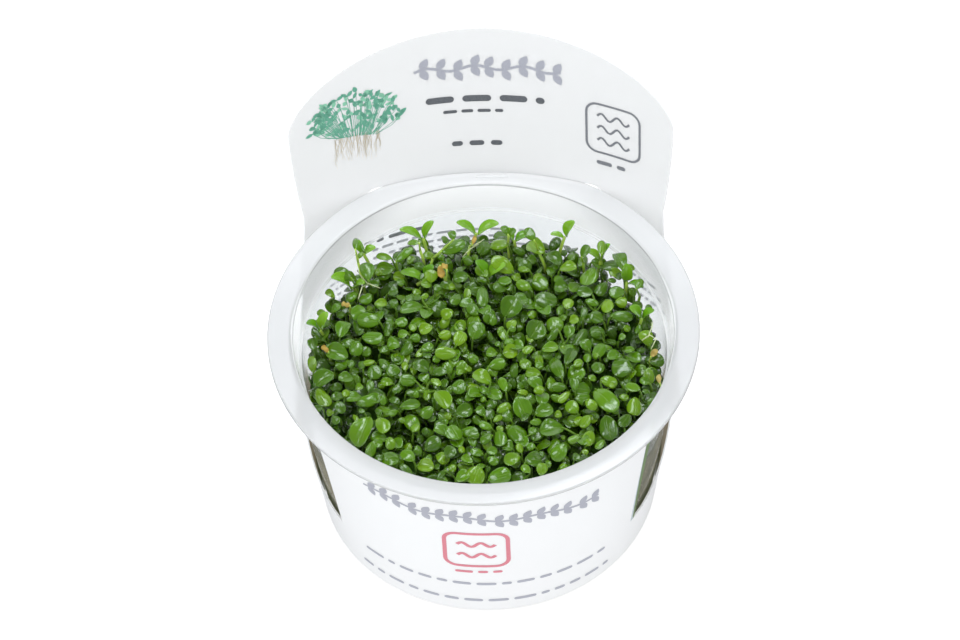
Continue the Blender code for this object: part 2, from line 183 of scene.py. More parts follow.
PALE, GREY, DARK, ROSE, TEAL, MINT, TAN, PALE_GREY_GLOWING, HEADING, GREEN = range(len(INKS))

# The mat of roots with its pale threads, and the bed of runners on it.
MAT_TOP = 32.0 * MM
THREAD_COUNT = 420
THREAD_POINTS = 7
BED_TOP = 36.6 * MM
BED_STEPS = 96
BED_LUMPS = 1.6 * MM
LUMP_SIZE = 3.0 * MM

# The plants. The levels of the two measured layers are in millimetres. An upper leaf within reach of a low
# plantlet's foot belongs to that plantlet, up to the most leaves; plain leaves make up the least.
TOP_LEVEL = 45.0
UNDER_LEVEL = 43.3
LOW_TOP = 43.0 * MM
LOW_REACH = 3.6 * MM
LEAST_LEAVES = 3
MOST_LEAVES = 5
FILLER_COUNT = 1500
FILLER_RADIUS = 41.3 * MM
PETIOLE_RADII = np.array((0.28, 0.27, 0.25, 0.23, 0.2, 0.14)) * MM
LOW_STEM_RADII = np.array((0.6, 0.56, 0.52, 0.48, 0.2)) * MM
SPRIG_FOOT = 43.0 * MM
LOOSE_ROOT_HEIGHT = 47.2 * MM
STEM_SIDES = 6
WALL_CLEARANCE = 0.5 * MM

# A blade: its width at the base as a share of the whole, how far along it is widest, how much its edge ripples
# when fresh or withered, and the heights between which the painted shade on leaves lifts upwards.
BASE_WIDTH = 0.08
WIDEST = 0.56
RIPPLE = 0.03
SHRIVEL = 0.3
LEAF_SHADE = (35.5 * MM, 45.0 * MM)

# A plant's finishes by their place in its list of materials.
GREEN_LEAF, STEM, WITHERED, PALE_ROOT = range(4)

# Leaves of the carpet's upper and lower layer, by their place in the picture: centre x and y, length and width
# in pixels, and direction in degrees.
TOP_LEAVES = (
    (553, 258, 19, 12, 32), (599, 263, 16, 11, 17), (617, 260, 17, 11, 345), (340, 272, 15, 10, 205),
    (482, 271, 15, 11, 223), (503, 265, 26, 15, 212), (524, 265, 16, 13, 47), (524, 269, 13, 6, 193),
    (568, 268, 17, 10, 354), (589, 276, 20, 15, 116), (616, 273, 15, 9, 201), (626, 266, 14, 8, 57),
    (431, 276, 13, 13, 271), (461, 277, 16, 11, 164), (505, 280, 13, 10, 196), (523, 285, 16, 11, 209),
    (602, 288, 16, 12, 130), (333, 298, 9, 4, 263), (351, 295, 13, 10, 157), (365, 298, 14, 11, 333),
    (393, 292, 10, 9, 358), (409, 298, 9, 7, 345), (425, 296, 8, 6, 335), (437, 288, 8, 8, 303),
    (456, 299, 13, 10, 132), (483, 295, 20, 12, 90), (546, 299, 23, 16, 14), (585, 292, 16, 11, 189),
    (617, 292, 16, 12, 173), (336, 308, 12, 7, 316), (358, 312, 16, 16, 167), (381, 303, 13, 8, 352),
    (394, 304, 11, 8, 246), (413, 308, 24, 11, 172), (473, 309, 15, 12, 229), (511, 307, 24, 21, 300),
    (520, 301, 16, 13, 353), (568, 303, 11, 11, 283), (592, 302, 14, 7, 19), (607, 305, 13, 12, 87),
    (621, 302, 12, 11, 5), (637, 306, 12, 11, 272), (649, 309, 10, 7, 273), (311, 320, 9, 4, 155),
    (320, 312, 8, 8, 235), (324, 322, 14, 9, 191), (368, 320, 24, 15, 187), (401, 322, 13, 10, 3),
    (447, 314, 13, 11, 144), (574, 320, 10, 9, 338), (584, 313, 13, 7, 280), (597, 317, 15, 12, 209),
    (622, 316, 23, 11, 3), (343, 329, 17, 14, 292), (361, 332, 6, 4, 149), (403, 334, 11, 8, 165),
    (413, 327, 8, 8, 157), (426, 329, 14, 11, 153), (445, 335, 13, 10, 350), (476, 330, 19, 17, 292),
    (512, 329, 8, 6, 3), (512, 325, 12, 9, 124), (536, 329, 20, 20, 122), (553, 335, 17, 8, 127),
    (569, 331, 13, 11, 274), (596, 333, 11, 8, 161), (313, 344, 13, 10, 260), (372, 337, 21, 13, 4),
    (393, 345, 13, 12, 333), (427, 347, 13, 9, 335), (460, 338, 16, 13, 296), (509, 341, 10, 7, 344),
    (550, 348, 17, 10, 350), (586, 345, 13, 11, 236), (646, 338, 17, 13, 239), (337, 353, 23, 17, 198),
    (356, 348, 15, 14, 101), (406, 349, 15, 11, 305), (436, 359, 8, 8, 329), (446, 353, 22, 13, 182),
    (473, 358, 12, 9, 21), (528, 349, 12, 8, 154), (570, 356, 18, 11, 299), (587, 358, 9, 8, 261),
    (596, 355, 6, 6, 169), (629, 350, 10, 6, 348), (312, 364, 17, 9, 261), (340, 366, 10, 7, 14),
    (351, 364, 9, 7, 274), (393, 370, 14, 13, 318), (421, 366, 18, 12, 26), (440, 371, 15, 9, 185),
    (497, 364, 17, 12, 343), (514, 371, 13, 8, 98), (539, 365, 8, 8, 329), (556, 366, 24, 13, 241),
    (578, 363, 10, 8, 318), (598, 367, 12, 12, 142), (622, 367, 21, 19, 183), (324, 378, 22, 16, 144),
    (346, 378, 15, 10, 181), (374, 372, 15, 14, 336), (387, 382, 13, 8, 186), (408, 380, 17, 12, 184),
    (436, 382, 12, 6, 30), (482, 377, 21, 13, 209), (503, 384, 15, 9, 247), (533, 373, 15, 10, 182),
    (578, 379, 8, 7, 321), (609, 381, 18, 11, 16), (645, 381, 11, 8, 199), (346, 393, 8, 8, 293),
    (416, 394, 8, 6, 83), (459, 386, 15, 14, 107), (523, 392, 11, 6, 7), (539, 390, 11, 9, 351),
    (559, 387, 15, 10, 179), (574, 384, 13, 9, 261), (612, 385, 6, 6, 136), (633, 387, 15, 9, 201),
    (646, 391, 8, 5, 357), (323, 397, 21, 13, 55), (340, 407, 14, 10, 61), (366, 401, 21, 12, 346),
    (383, 400, 10, 7, 83), (394, 400, 11, 7, 13), (410, 405, 21, 10, 351), (442, 399, 21, 15, 56),
    (504, 408, 16, 10, 332), (522, 407, 24, 18, 66), (564, 397, 15, 8, 137), (572, 407, 15, 13, 220),
    (591, 404, 14, 10, 43), (605, 398, 29, 19, 44), (635, 406, 18, 15, 94), (317, 409, 10, 7, 162),
    (379, 412, 7, 7, 142), (393, 412, 10, 7, 158), (427, 412, 15, 12, 140), (464, 411, 17, 14, 341),
    (481, 411, 12, 9, 229), (498, 418, 11, 6, 326), (525, 417, 10, 6, 136), (544, 411, 19, 14, 341),
    (336, 420, 9, 9, 143), (363, 431, 32, 20, 112), (382, 425, 16, 14, 80), (415, 428, 9, 8, 298),
    (486, 425, 14, 8, 204), (532, 431, 9, 8, 297), (536, 422, 12, 7, 355), (552, 429, 24, 16, 172),
    (585, 421, 15, 10, 124), (608, 427, 25, 18, 76), (622, 423, 11, 6, 243), (625, 420, 15, 11, 128),
    (377, 443, 11, 9, 7), (390, 443, 13, 10, 81), (455, 432, 17, 16, 238), (474, 435, 11, 8, 1),
    (486, 438, 14, 9, 144), (500, 438, 16, 13, 81), (518, 433, 20, 17, 231), (574, 439, 13, 8, 156),
    (588, 442, 9, 8, 309), (600, 444, 12, 7, 132), (408, 455, 16, 12, 221), (418, 450, 10, 8, 74),
    (432, 444, 19, 15, 322), (450, 452, 13, 12, 309), (462, 449, 7, 7, 83), (492, 451, 11, 8, 356),
    (508, 447, 11, 11, 200), (520, 448, 10, 7, 250), (531, 446, 9, 8, 183), (559, 452, 20, 15, 128),
    (379, 458, 8, 7, 20), (389, 459, 20, 13, 1), (452, 468, 8, 8, 2), (467, 459, 12, 8, 209),
    (480, 467, 11, 6, 149), (493, 460, 12, 9, 32), (512, 459, 17, 12, 156), (534, 460, 18, 15, 1),
    (563, 467, 8, 8, 11), (576, 457, 8, 8, 306), (406, 469, 15, 7, 216), (442, 474, 11, 6, 129),
    (463, 476, 16, 11, 321), (476, 475, 19, 19, 107), (499, 476, 24, 17, 341), (526, 469, 11, 8, 213),
    (542, 469, 13, 11, 284),
)

UNDER_LEAVES = (
    (465, 248, 15, 12, 187), (483, 248, 15, 14, 288), (483, 241, 13, 10, 355), (498, 248, 10, 7, 212),
    (501, 244, 19, 15, 321), (519, 251, 13, 8, 26), (534, 247, 18, 11, 187), (411, 260, 10, 7, 315),
    (429, 255, 12, 8, 184), (441, 257, 9, 7, 229), (465, 254, 8, 6, 276), (468, 260, 12, 10, 25),
    (475, 257, 7, 6, 224), (518, 259, 6, 6, 311), (532, 260, 10, 9, 196), (547, 263, 11, 11, 352),
    (564, 253, 7, 7, 253), (571, 257, 8, 8, 0), (583, 261, 14, 9, 298), (378, 272, 8, 8, 319),
    (384, 271, 19, 16, 146), (408, 270, 10, 5, 351), (414, 270, 11, 7, 186), (420, 266, 11, 9, 185),
    (442, 268, 15, 9, 220), (539, 271, 10, 5, 126), (551, 271, 11, 9, 263), (554, 266, 10, 7, 344),
    (581, 265, 7, 5, 340), (363, 279, 18, 9, 200), (372, 284, 15, 7, 9), (377, 282, 9, 6, 268),
    (399, 277, 12, 10, 183), (401, 282, 8, 8, 147), (424, 277, 10, 8, 40), (426, 284, 10, 10, 353),
    (448, 286, 17, 9, 194), (452, 287, 7, 7, 189), (471, 287, 13, 10, 314), (481, 280, 11, 6, 8),
    (501, 286, 15, 13, 211), (510, 288, 7, 7, 219), (516, 278, 10, 8, 23), (531, 282, 15, 9, 139),
    (538, 277, 10, 10, 322), (540, 283, 17, 16, 210), (558, 279, 9, 9, 43), (561, 287, 14, 13, 176),
    (612, 280, 9, 5, 6), (373, 290, 8, 8, 98), (417, 292, 9, 8, 34), (437, 296, 8, 5, 179),
    (467, 295, 14, 7, 273), (633, 292, 10, 8, 266), (332, 306, 15, 15, 65), (350, 301, 8, 8, 170),
    (370, 308, 6, 6, 149), (437, 308, 18, 17, 35), (466, 309, 8, 8, 341), (538, 305, 11, 10, 349),
    (561, 310, 10, 9, 294), (580, 302, 6, 5, 204), (341, 314, 9, 8, 170), (384, 312, 10, 8, 145),
    (390, 323, 9, 8, 352), (417, 323, 17, 13, 320), (445, 321, 17, 9, 122), (469, 314, 9, 8, 309),
    (490, 316, 16, 13, 100), (493, 320, 11, 8, 93), (525, 316, 14, 8, 289), (532, 314, 9, 9, 145),
    (563, 318, 10, 6, 135), (588, 319, 12, 9, 193), (640, 314, 11, 9, 264), (321, 331, 18, 15, 223),
    (358, 326, 18, 10, 79), (387, 334, 6, 6, 186), (388, 330, 14, 9, 284), (460, 326, 12, 12, 33),
    (490, 336, 11, 6, 65), (501, 330, 9, 6, 114), (503, 333, 15, 9, 59), (555, 325, 18, 17, 266),
    (598, 332, 17, 13, 232), (627, 328, 8, 7, 30), (638, 329, 10, 6, 109), (348, 343, 16, 10, 6),
    (409, 342, 7, 7, 20), (415, 338, 11, 9, 357), (444, 345, 18, 11, 307), (463, 347, 12, 8, 266),
    (498, 344, 6, 6, 227), (510, 346, 15, 10, 218), (517, 337, 7, 6, 77), (529, 338, 9, 6, 51),
    (572, 342, 8, 5, 1), (578, 342, 10, 6, 177), (581, 337, 19, 11, 302), (622, 337, 8, 6, 327),
    (316, 351, 10, 8, 199), (365, 351, 13, 10, 22), (385, 349, 12, 7, 331), (397, 359, 8, 6, 345),
    (402, 359, 15, 14, 249), (422, 352, 15, 8, 324), (427, 355, 10, 6, 17), (453, 360, 15, 10, 274),
    (492, 353, 11, 9, 169), (510, 352, 15, 14, 353), (523, 356, 15, 9, 114), (547, 355, 10, 10, 334),
    (558, 356, 8, 6, 120), (563, 348, 5, 5, 220), (599, 351, 18, 12, 300), (608, 350, 14, 9, 219),
    (620, 357, 8, 7, 77), (642, 350, 8, 6, 333), (647, 359, 5, 5, 306), (653, 353, 7, 7, 336),
    (362, 365, 8, 8, 254), (369, 362, 12, 6, 172), (385, 364, 15, 9, 45), (405, 366, 9, 7, 266),
    (414, 369, 11, 7, 273), (448, 368, 13, 11, 255), (460, 371, 8, 8, 196), (462, 367, 14, 12, 86),
    (468, 368, 9, 6, 17), (493, 370, 14, 10, 246), (525, 363, 12, 11, 53), (539, 361, 16, 8, 86),
    (549, 368, 8, 8, 313), (606, 360, 5, 5, 104), (632, 363, 14, 8, 299), (657, 363, 10, 7, 42),
    (657, 360, 14, 14, 335), (424, 377, 11, 11, 242), (444, 383, 9, 9, 253), (526, 380, 14, 11, 252),
    (532, 380, 12, 12, 65), (552, 383, 15, 10, 80), (576, 374, 19, 16, 330), (592, 378, 9, 6, 25),
    (628, 380, 8, 6, 102), (631, 375, 14, 7, 309), (649, 376, 17, 11, 88), (336, 387, 13, 9, 354),
    (359, 387, 8, 7, 321), (370, 386, 12, 8, 275), (376, 394, 18, 10, 184), (381, 385, 8, 7, 330),
    (396, 390, 9, 6, 17), (399, 387, 15, 8, 137), (413, 393, 14, 8, 5), (421, 391, 12, 12, 96),
    (427, 394, 12, 8, 90), (450, 390, 11, 6, 323), (471, 386, 8, 6, 292), (474, 389, 14, 11, 175),
    (484, 390, 13, 7, 34), (492, 394, 16, 11, 237), (581, 389, 19, 15, 8), (349, 396, 13, 11, 204),
    (459, 401, 6, 6, 44), (471, 397, 13, 9, 329), (483, 399, 6, 6, 178), (491, 404, 13, 10, 308),
    (530, 399, 14, 12, 193), (556, 398, 12, 8, 22), (583, 398, 16, 13, 9), (624, 397, 10, 7, 7),
    (330, 413, 7, 7, 312), (356, 418, 9, 5, 54), (362, 411, 7, 5, 208), (383, 411, 16, 12, 202),
    (443, 418, 14, 8, 50), (448, 416, 8, 8, 139), (489, 414, 12, 12, 249), (505, 415, 17, 13, 215),
    (558, 415, 8, 7, 354), (594, 418, 10, 9, 120), (596, 416, 6, 6, 129), (615, 410, 9, 9, 216),
    (402, 420, 8, 6, 11), (412, 423, 20, 14, 228), (425, 431, 8, 7, 100), (440, 424, 12, 10, 333),
    (445, 423, 8, 6, 285), (468, 422, 8, 5, 136), (469, 432, 18, 11, 358), (500, 429, 7, 7, 123),
    (509, 428, 7, 7, 21), (579, 421, 10, 10, 233), (590, 429, 11, 6, 50), (379, 438, 11, 6, 60),
    (472, 439, 14, 8, 73), (484, 434, 7, 6, 52), (536, 434, 14, 14, 293), (563, 437, 5, 5, 2),
    (589, 437, 15, 13, 112), (371, 449, 17, 10, 109), (408, 447, 9, 8, 108), (477, 452, 14, 8, 197),
    (487, 445, 12, 9, 256), (541, 454, 7, 7, 129), (553, 446, 17, 10, 298), (585, 452, 7, 6, 19),
    (425, 466, 17, 13, 7), (429, 459, 10, 7, 94), (437, 467, 6, 6, 235), (443, 457, 14, 12, 27),
    (465, 467, 15, 10, 23), (548, 464, 8, 6, 99), (565, 458, 6, 5, 217), (449, 471, 12, 10, 355),
    (488, 469, 7, 5, 299), (442, 480, 13, 9, 46),
)

# Feet of the low plantlets, in millimetres from the cup's axis.
LOW_FEET = (
    (-26.0, 16.5), (-13.0, 17.0), (-1.5, 17.5), (12.5, 17.0), (26.0, 15.5), (-33.5, 3.0), (-20.5, 4.5),
    (-7.5, 5.0), (5.0, 5.5), (18.5, 6.0), (32.5, 2.0), (-28.0, -9.0), (-14.0, -8.0), (0.0, -8.5),
    (13.5, -8.0), (27.5, -8.5), (-22.0, -21.5), (-7.5, -20.5), (7.0, -21.5), (21.5, -21.0), (-6.5, -33.0),
    (9.0, -33.0),
)

# Each tall plantlet: the foot of its stem, the stem's top, and its leaves as (tip, width), in millimetres.
TALL_SHOOTS = (
    ((-30.0, 23.0), (-31.0, 22.0, 45.0), (((-35.0, 21.0, 51.0), 3.6), ((-28.5, 21.0, 48.5), 2.4))),
    ((-26.0, 28.5), (-28.5, 29.0, 49.0), (((-29.5, 29.5, 53.0), 1.8), ((-25.8, 29.5, 51.0), 2.2))),
    ((-13.5, 34.0), (-14.5, 35.0, 47.0), (((-19.5, 35.5, 50.5), 2.4), ((-12.5, 36.5, 51.5), 2.4))),
    ((-4.0, 35.0), (-1.8, 35.5, 48.0), (((-6.0, 36.5, 51.5), 2.4), ((3.0, 36.5, 51.0), 2.8))),
    ((7.5, 35.0), (7.0, 36.0, 44.5), (((5.0, 37.0, 48.0), 2.2), ((10.5, 36.5, 46.5), 2.6))),
    ((17.0, 32.0), (19.0, 33.5, 48.5), (((20.8, 34.5, 53.0), 2.8), ((15.8, 34.0, 49.5), 1.6))),
    ((26.5, 28.0), (27.5, 28.5, 46.0), (((29.0, 29.0, 51.0), 2.2), ((24.5, 29.5, 48.5), 2.2))),
    ((33.0, 20.5), (33.5, 21.5, 46.0), (((33.5, 22.0, 51.5), 2.8), ((37.0, 18.5, 48.5), 2.0))),
    ((36.0, 11.5), (36.8, 12.0, 44.0), (((34.5, 12.5, 48.0), 3.0), ((39.2, 12.0, 47.5), 2.4))),
    ((-37.5, 10.5), (-38.6, 9.0, 45.5), (((-40.8, 8.0, 50.0), 2.6), ((-37.0, 11.0, 49.5), 2.4))),
    ((0.0, 26.0), (0.5, 26.5, 43.0), (((-1.5, 27.5, 47.5), 2.8), ((4.5, 27.5, 46.5), 3.4))),
    ((-16.0, 26.0), (-14.0, 26.5, 42.0), (((-12.5, 27.5, 46.0), 2.8), ((-19.5, 27.0, 45.0), 2.6))),
)

# Sprigs along the edge of the carpet, by their places in the picture: foot, stem points, leaves as above, and
# the stem's tone. A leaf with a sixth number of 1 has withered.
SPRIGS = (
    ((357, 288), (), ((341, 273, 19, 13, 205),), 0.8),
    ((364, 284), ((358, 262),), ((355, 243, 13, 6, 265), (360, 255, 8, 5, 300)), 1.0),
    ((372, 288), (), ((367, 271, 18, 14, 262),), 0.6),
    ((398, 271), (), ((384, 257, 16, 7, 190), (385, 269, 19, 13, 178)), 0.5),
    ((398, 272), (), ((404, 254, 22, 8, 319),), 0.7),
    ((424, 262), ((420, 250),), ((413, 242, 13, 6, 185),), 1.0),
    ((430, 268), ((433, 258),), ((453, 246, 26, 13, 335), (452, 235, 10, 8, 250)), 0.9),
    ((468, 256), ((470, 246),), ((474, 240, 9, 4, 290, 1),), 1.0),
    ((509, 256), ((508, 243),), ((505, 230, 11, 7, 235), (512, 232, 10, 6, 310)), 1.0),
    ((545, 266), ((538, 250),), ((530, 234, 15, 10, 235),), 0.9),
    ((512, 256), (), ((499, 243, 19, 11, 183),), 0.4),
    ((546, 262), (), ((536, 247, 19, 15, 215),), 0.5),
    ((584, 270), ((583, 262),), ((585, 251, 14, 9, 300),), 0.8),
    ((602, 268), ((601, 260),), ((602, 247, 14, 9, 272),), 0.8),
    ((626, 281), (), ((620, 260, 19, 13, 250),), 0.6),
    ((627, 283), (), ((634, 266, 11, 7, 345),), 0.8),
    ((640, 296), (), ((645, 281, 12, 8, 300),), 0.7),
    ((330, 300), (), ((322, 290, 11, 7, 215),), 0.8),
    ((446, 282), (), ((441, 271, 13, 7, 80, 1), (445, 266, 8, 5, 240, 1)), 1.0),
    ((350, 312), (), ((346, 304, 9, 5, 200, 1),), 1.0),
    ((662, 388), (), ((661, 379, 9, 5, 260, 1),), 1.0),
    ((650, 360), (), ((654, 353, 10, 6, 310, 1),), 1.0),
    ((330, 356), (), ((325, 349, 9, 5, 220, 1),), 1.0),
)

# Pale roots that lie over the leaves: the places in the picture that each passes.
LOOSE_ROOTS = (
    ((357, 266), (361, 276), (367, 283), (380, 285)),
    ((368, 280), (362, 287), (358, 296)),
    ((470, 239), (473, 246), (480, 242), (484, 236)),
    ((478, 240), (470, 249), (462, 254)),
    ((642, 336), (650, 335), (656, 339), (651, 346)),
    ((652, 318), (652, 327), (648, 334)),
)

UP = np.array((0.0, 0.0, 1.0))
TURN = np.array(CAMERA_TURN.to_matrix())
CAMERA_RIGHT = TURN[:, 0]
CAMERA_UP = TURN[:, 1]
CAMERA_BACK = TURN[:, 2]
FOCAL_PIXELS = LENS / SENSOR * IMAGE_WIDTH


def unit(vector):
    return vector / np.linalg.norm(vector)


def seen_on(pixel, axis, level):
    """The point that the camera sees at a pixel, on the plane where that axis has that value."""
    across = (pixel[0] - IMAGE_WIDTH / 2) / FOCAL_PIXELS
    down = (pixel[1] - IMAGE_HEIGHT / 2) / FOCAL_PIXELS
    line = CAMERA_RIGHT * across - CAMERA_UP * down - CAMERA_BACK
    start = np.array(CAMERA_PLACE)
    return start + line * (level - start[axis]) / line[axis]


def at_height(pixel, height):
    return seen_on(pixel, 2, height)


def at_depth(pixel, depth):
    return seen_on(pixel, 1, depth)


def inner_radius(height):
    """Radius of the cup's inner wall up to its ledge."""
    foot_height = 2.0 * FLOOR_THICKNESS
    foot_radius = FLOOR_RADIUS + 1.2 * MM
    if height < WALL_BEND_HEIGHT:
        share = (height - foot_height) / (WALL_BEND_HEIGHT - foot_height)
        return foot_radius + share * (WALL_BEND_RADIUS - foot_radius)
    share = (height - WALL_BEND_HEIGHT) / (LEDGE_HEIGHT - WALL_BEND_HEIGHT)
    return WALL_BEND_RADIUS + share * (LEDGE_RADIUS - WALL_BEND_RADIUS)


class Nodes:
    """A short way to build the node tree of a material or of the world."""

    def __init__(self, owner, shader="Principled BSDF"):
        owner.use_nodes = True
        self.owner = owner
        self.tree = owner.node_tree
        self.shader = self.tree.nodes[shader]

    def add(self, kind, settings=None, **inputs):
        node = self.tree.nodes.new("ShaderNode" + kind)
        for key, value in (settings or {}).items():
            setattr(node, key, value)
        for key, value in inputs.items():
            self.put(node.inputs[key.replace("_", " ")], value)
        return node

    def put(self, socket, value):
        if isinstance(value, bpy.types.NodeSocket):
            self.tree.links.new(value, socket)
        elif isinstance(value, tuple) and len(value) == 3 and socket.type == "RGBA":
            socket.default_value = (*value, 1.0)
        else:
            socket.default_value = value

    def set(self, name, value):
        self.put(self.shader.inputs[name], value)

    def maths(self, operation, *values):
        node = self.add("Math", {"operation": operation})
        for socket, value in zip(node.inputs, values):
            self.put(socket, value)
        return node.outputs[0]

    def mix(self, share, first, second, blend="MIX"):
        node = self.add("Mix", {"data_type": "RGBA", "blend_type": blend})
        for index, value in ((0, share), (6, first), (7, second)):
            self.put(node.inputs[index], value)
        return node.outputs[2]

    def ramp(self, value, *stops):
        node = self.add("ValToRGB", Fac=value)
        while len(node.color_ramp.elements) < len(stops):
            node.color_ramp.elements.new(0.5)
        for element, (place, colour) in zip(node.color_ramp.elements, stops):
            element.position = place
            element.color = (*colour, 1.0)
        return node.outputs[0]

    def map_range(self, value, low, high, first=0.0, last=1.0, kind="SMOOTHSTEP"):
        """A value that goes from first to last while the input goes from low to high."""
        node = self.add("MapRange", {"interpolation_type": kind}, Value=value)
        for name, limit in (("From Min", low), ("From Max", high), ("To Min", first), ("To Max", last)):
            node.inputs[name].default_value = limit
        return node.outputs[0]

    def place(self):
        return self.add("TexCoord").outputs["Object"]

    def axes(self, vector):
        return self.add("SeparateXYZ", Vector=vector).outputs

    def tone(self):
        """The tone that each leaf, stem and root carries."""
        return self.add("Attribute", {"attribute_name": "tone"}).outputs["Fac"]

    def noise(self, scale, detail=3.0, vector=None):
        node = self.add("TexNoise", Scale=scale, Detail=detail)
        self.put(node.inputs["Vector"], vector or self.place())
        return node.outputs["Fac"]

    def rough(self, least, swing, scale):
        """Roughness that varies upward from the least in a noise."""
        self.set("Roughness", self.maths("ADD", least, self.maths("MULTIPLY", self.noise(scale), swing)))

    def scatter(self, weight, radius, scale):
        self.set("Subsurface Weight", weight)
        self.set("Subsurface Radius", Vector(radius))
        self.set("Subsurface Scale", scale)

    def glow(self, colour, strength):
        self.set("Emission Color", colour)
        self.set("Emission Strength", strength)

    def bump(self, height, distance, strength=0.5):
        node = self.add("Bump", Strength=strength, Distance=distance, Height=height)
        self.set("Normal", node.outputs[0])


def new_material(name):
    """The node tree of a new material, which is its owner."""
    return Nodes(bpy.data.materials.new(name))


def leaf_material(name, dark, middle, light, floor_shade):
    """Glossy leaf tissue: hue by leaf, painted shade low in the tangle, a pale midrib and faint veins."""
    n = new_material(name)
    tone = n.tone()
    blade = n.add("UVMap", {"uv_map": "blade"}).outputs[0]
    across = n.maths("ABSOLUTE", n.maths("SUBTRACT", n.axes(blade)[0], 0.5))
    colour = n.ramp(tone, (0.0, dark), (0.55, middle), (1.0, light))
    colour = n.mix(n.maths("MULTIPLY", n.noise(900.0, 4.0), 0.5), colour, n.mix(0.5, colour, light))
    rib = n.maths("SMOOTH_MAX", n.maths("SUBTRACT", 1.0, n.maths("MULTIPLY", across, 26.0)), 0.0, 0.1)
    colour = n.mix(n.maths("MULTIPLY", rib, 0.22), colour, (0.30, 0.46, 0.08))
    # Painted shade: leaves darken towards the bottom of the tangle.
    depth = n.map_range(n.axes(n.place())[2], *LEAF_SHADE, floor_shade)
    shade = n.add("CombineColor", Red=depth, Green=depth, Blue=depth).outputs[0]
    n.set("Base Color", n.mix(1.0, colour, shade, "MULTIPLY"))
    n.rough(0.1, 0.16, 1500.0)
    n.scatter(0.08, (0.4, 1.0, 0.15), 0.4 * MM)
    n.set("IOR", 1.5)
    n.set("Coat Weight", 0.9)
    n.set("Coat Roughness", 0.1)
    own = n.add("CombineXYZ", Z=n.maths("MULTIPLY", tone, 40.0)).outputs[0]
    drawn = n.add("VectorMath", {"operation": "MULTIPLY_ADD"})
    for socket, value in zip(drawn.inputs, (blade, Vector((7.0, 1.1, 0.0)), own)):
        n.put(socket, value)
    streaks = n.noise(1.0, 2.0, drawn.outputs[0])
    rise = n.maths("ADD", n.maths("MULTIPLY", rib, -0.5), n.maths("MULTIPLY", streaks, 1.3))
    rise = n.maths("ADD", rise, n.maths("MULTIPLY", n.noise(1100.0), 0.5))
    n.bump(rise, 0.16 * MM, 0.75)
    return n.owner


def withered_material():
    """Dried leaf, orange to straw with brown blotches."""
    n = new_material("withered_leaf")
    colour = n.ramp(
        n.tone(), (0.3, (0.50, 0.26, 0.03)), (0.6, (0.62, 0.44, 0.06)), (0.95, (0.68, 0.60, 0.20))
    )
    n.set("Base Color", n.mix(n.noise(1300.0, 4.0), colour, n.mix(0.65, colour, (0.16, 0.07, 0.02))))
    n.set("Roughness", 0.5)
    n.bump(n.noise(1500.0, 4.0), 0.12 * MM, 0.8)
    return n.owner


def stem_material():
    """Stem tissue by tone, from dark green for stems in the tangle, partly painted shade, to nearly yellow in
    the light.
    """
    n = new_material("stem_tissue")
    colour = n.ramp(
        n.tone(),
        (0.0, (0.03, 0.11, 0.003)),
        (0.6, (0.11, 0.27, 0.012)),
        (0.85, (0.27, 0.50, 0.03)),
        (1.0, (0.52, 0.74, 0.11)),
    )
    n.set("Base Color", n.mix(n.noise(500.0), colour, n.mix(0.25, colour, (0.48, 0.58, 0.12))))
    n.set("Roughness", 0.3)
    n.scatter(0.15, (0.5, 1.0, 0.25), 0.5 * MM)
    n.bump(n.noise(1800.0), 0.05 * MM)
    return n.owner


def plastic_material(name, colour, clearness, index, glow=0.0):
    """Clear, slightly milky moulded plastic; glow gives it a painted glow for light sent through it by the
    card.
    """
    n = new_material(name)
    n.set("Base Color", colour)
    if glow:
        # Painted glow on the rim: up to full towards the back, up to half towards the front.
        depth = n.axes(n.place())[1]
        front = n.maths("MULTIPLY", n.map_range(depth, *RIM_GLOW_FRONT), 0.5)
        light = n.maths("ADD", n.map_range(depth, *RIM_GLOW_BACK), front)
        n.glow((0.98, 0.99, 1.0), n.maths("MULTIPLY", light, glow))
    n.rough(0.08, 0.1, 60.0)
    n.set("Transmission Weight", clearness)
    n.set("IOR", index)
    n.bump(n.noise(180.0, 2.0), 0.05 * MM, 0.25)
    return n.owner


def card_tone(n, shade):
    """White card with a faint cloudiness."""
    dark = (shade - 0.012, shade - 0.004, shade)
    return n.mix(n.noise(40.0), dark, (shade + 0.01, shade + 0.014, shade + 0.02))


def sheet_material(name, through, shade):
    """Smooth coated card, faint grain; through is how well light comes through it, and above nought adds
    painted light.
    """
    n = new_material(name)
    if through:
        place = n.axes(n.place())
        distance = n.maths("ADD", n.maths("POWER", place[0], 2.0), n.maths("POWER", place[1], 2.0))
        clear = n.map_range(n.maths("SQRT", distance), *FREE_DISTANCES)
        free = n.maths("MAXIMUM", clear, n.map_range(place[2], *FREE_HEIGHTS))
        # Painted light and shade: paler where the card hugs the cup, darker where it stands free.
        n.set("Base Color", n.mix(free, card_tone(n, PAINTED_HUGGING_TONE), card_tone(n, shade)))
        # Painted glow where the card hugs the cup, a little stronger under the flange.
        more = n.maths("MULTIPLY", n.map_range(place[2], *UNDER_FLANGE), PAINTED_UNDER_FLANGE_GLOW)
        light = n.maths("ADD", more, PAINTED_THROUGH_GLOW)
        n.glow((0.97, 0.985, 1.0), n.maths("MULTIPLY", n.maths("SUBTRACT", 1.0, free), light))
    else:
        n.set("Base Color", card_tone(n, shade))
    n.rough(0.36, 0.12, 1500.0)
    n.set("IOR", 1.45)
    n.scatter(through, (1.0, 1.0, 1.0), 4.0 * MM)
    n.bump(n.noise(1600.0), 0.02 * MM, 0.25)
    return n.owner


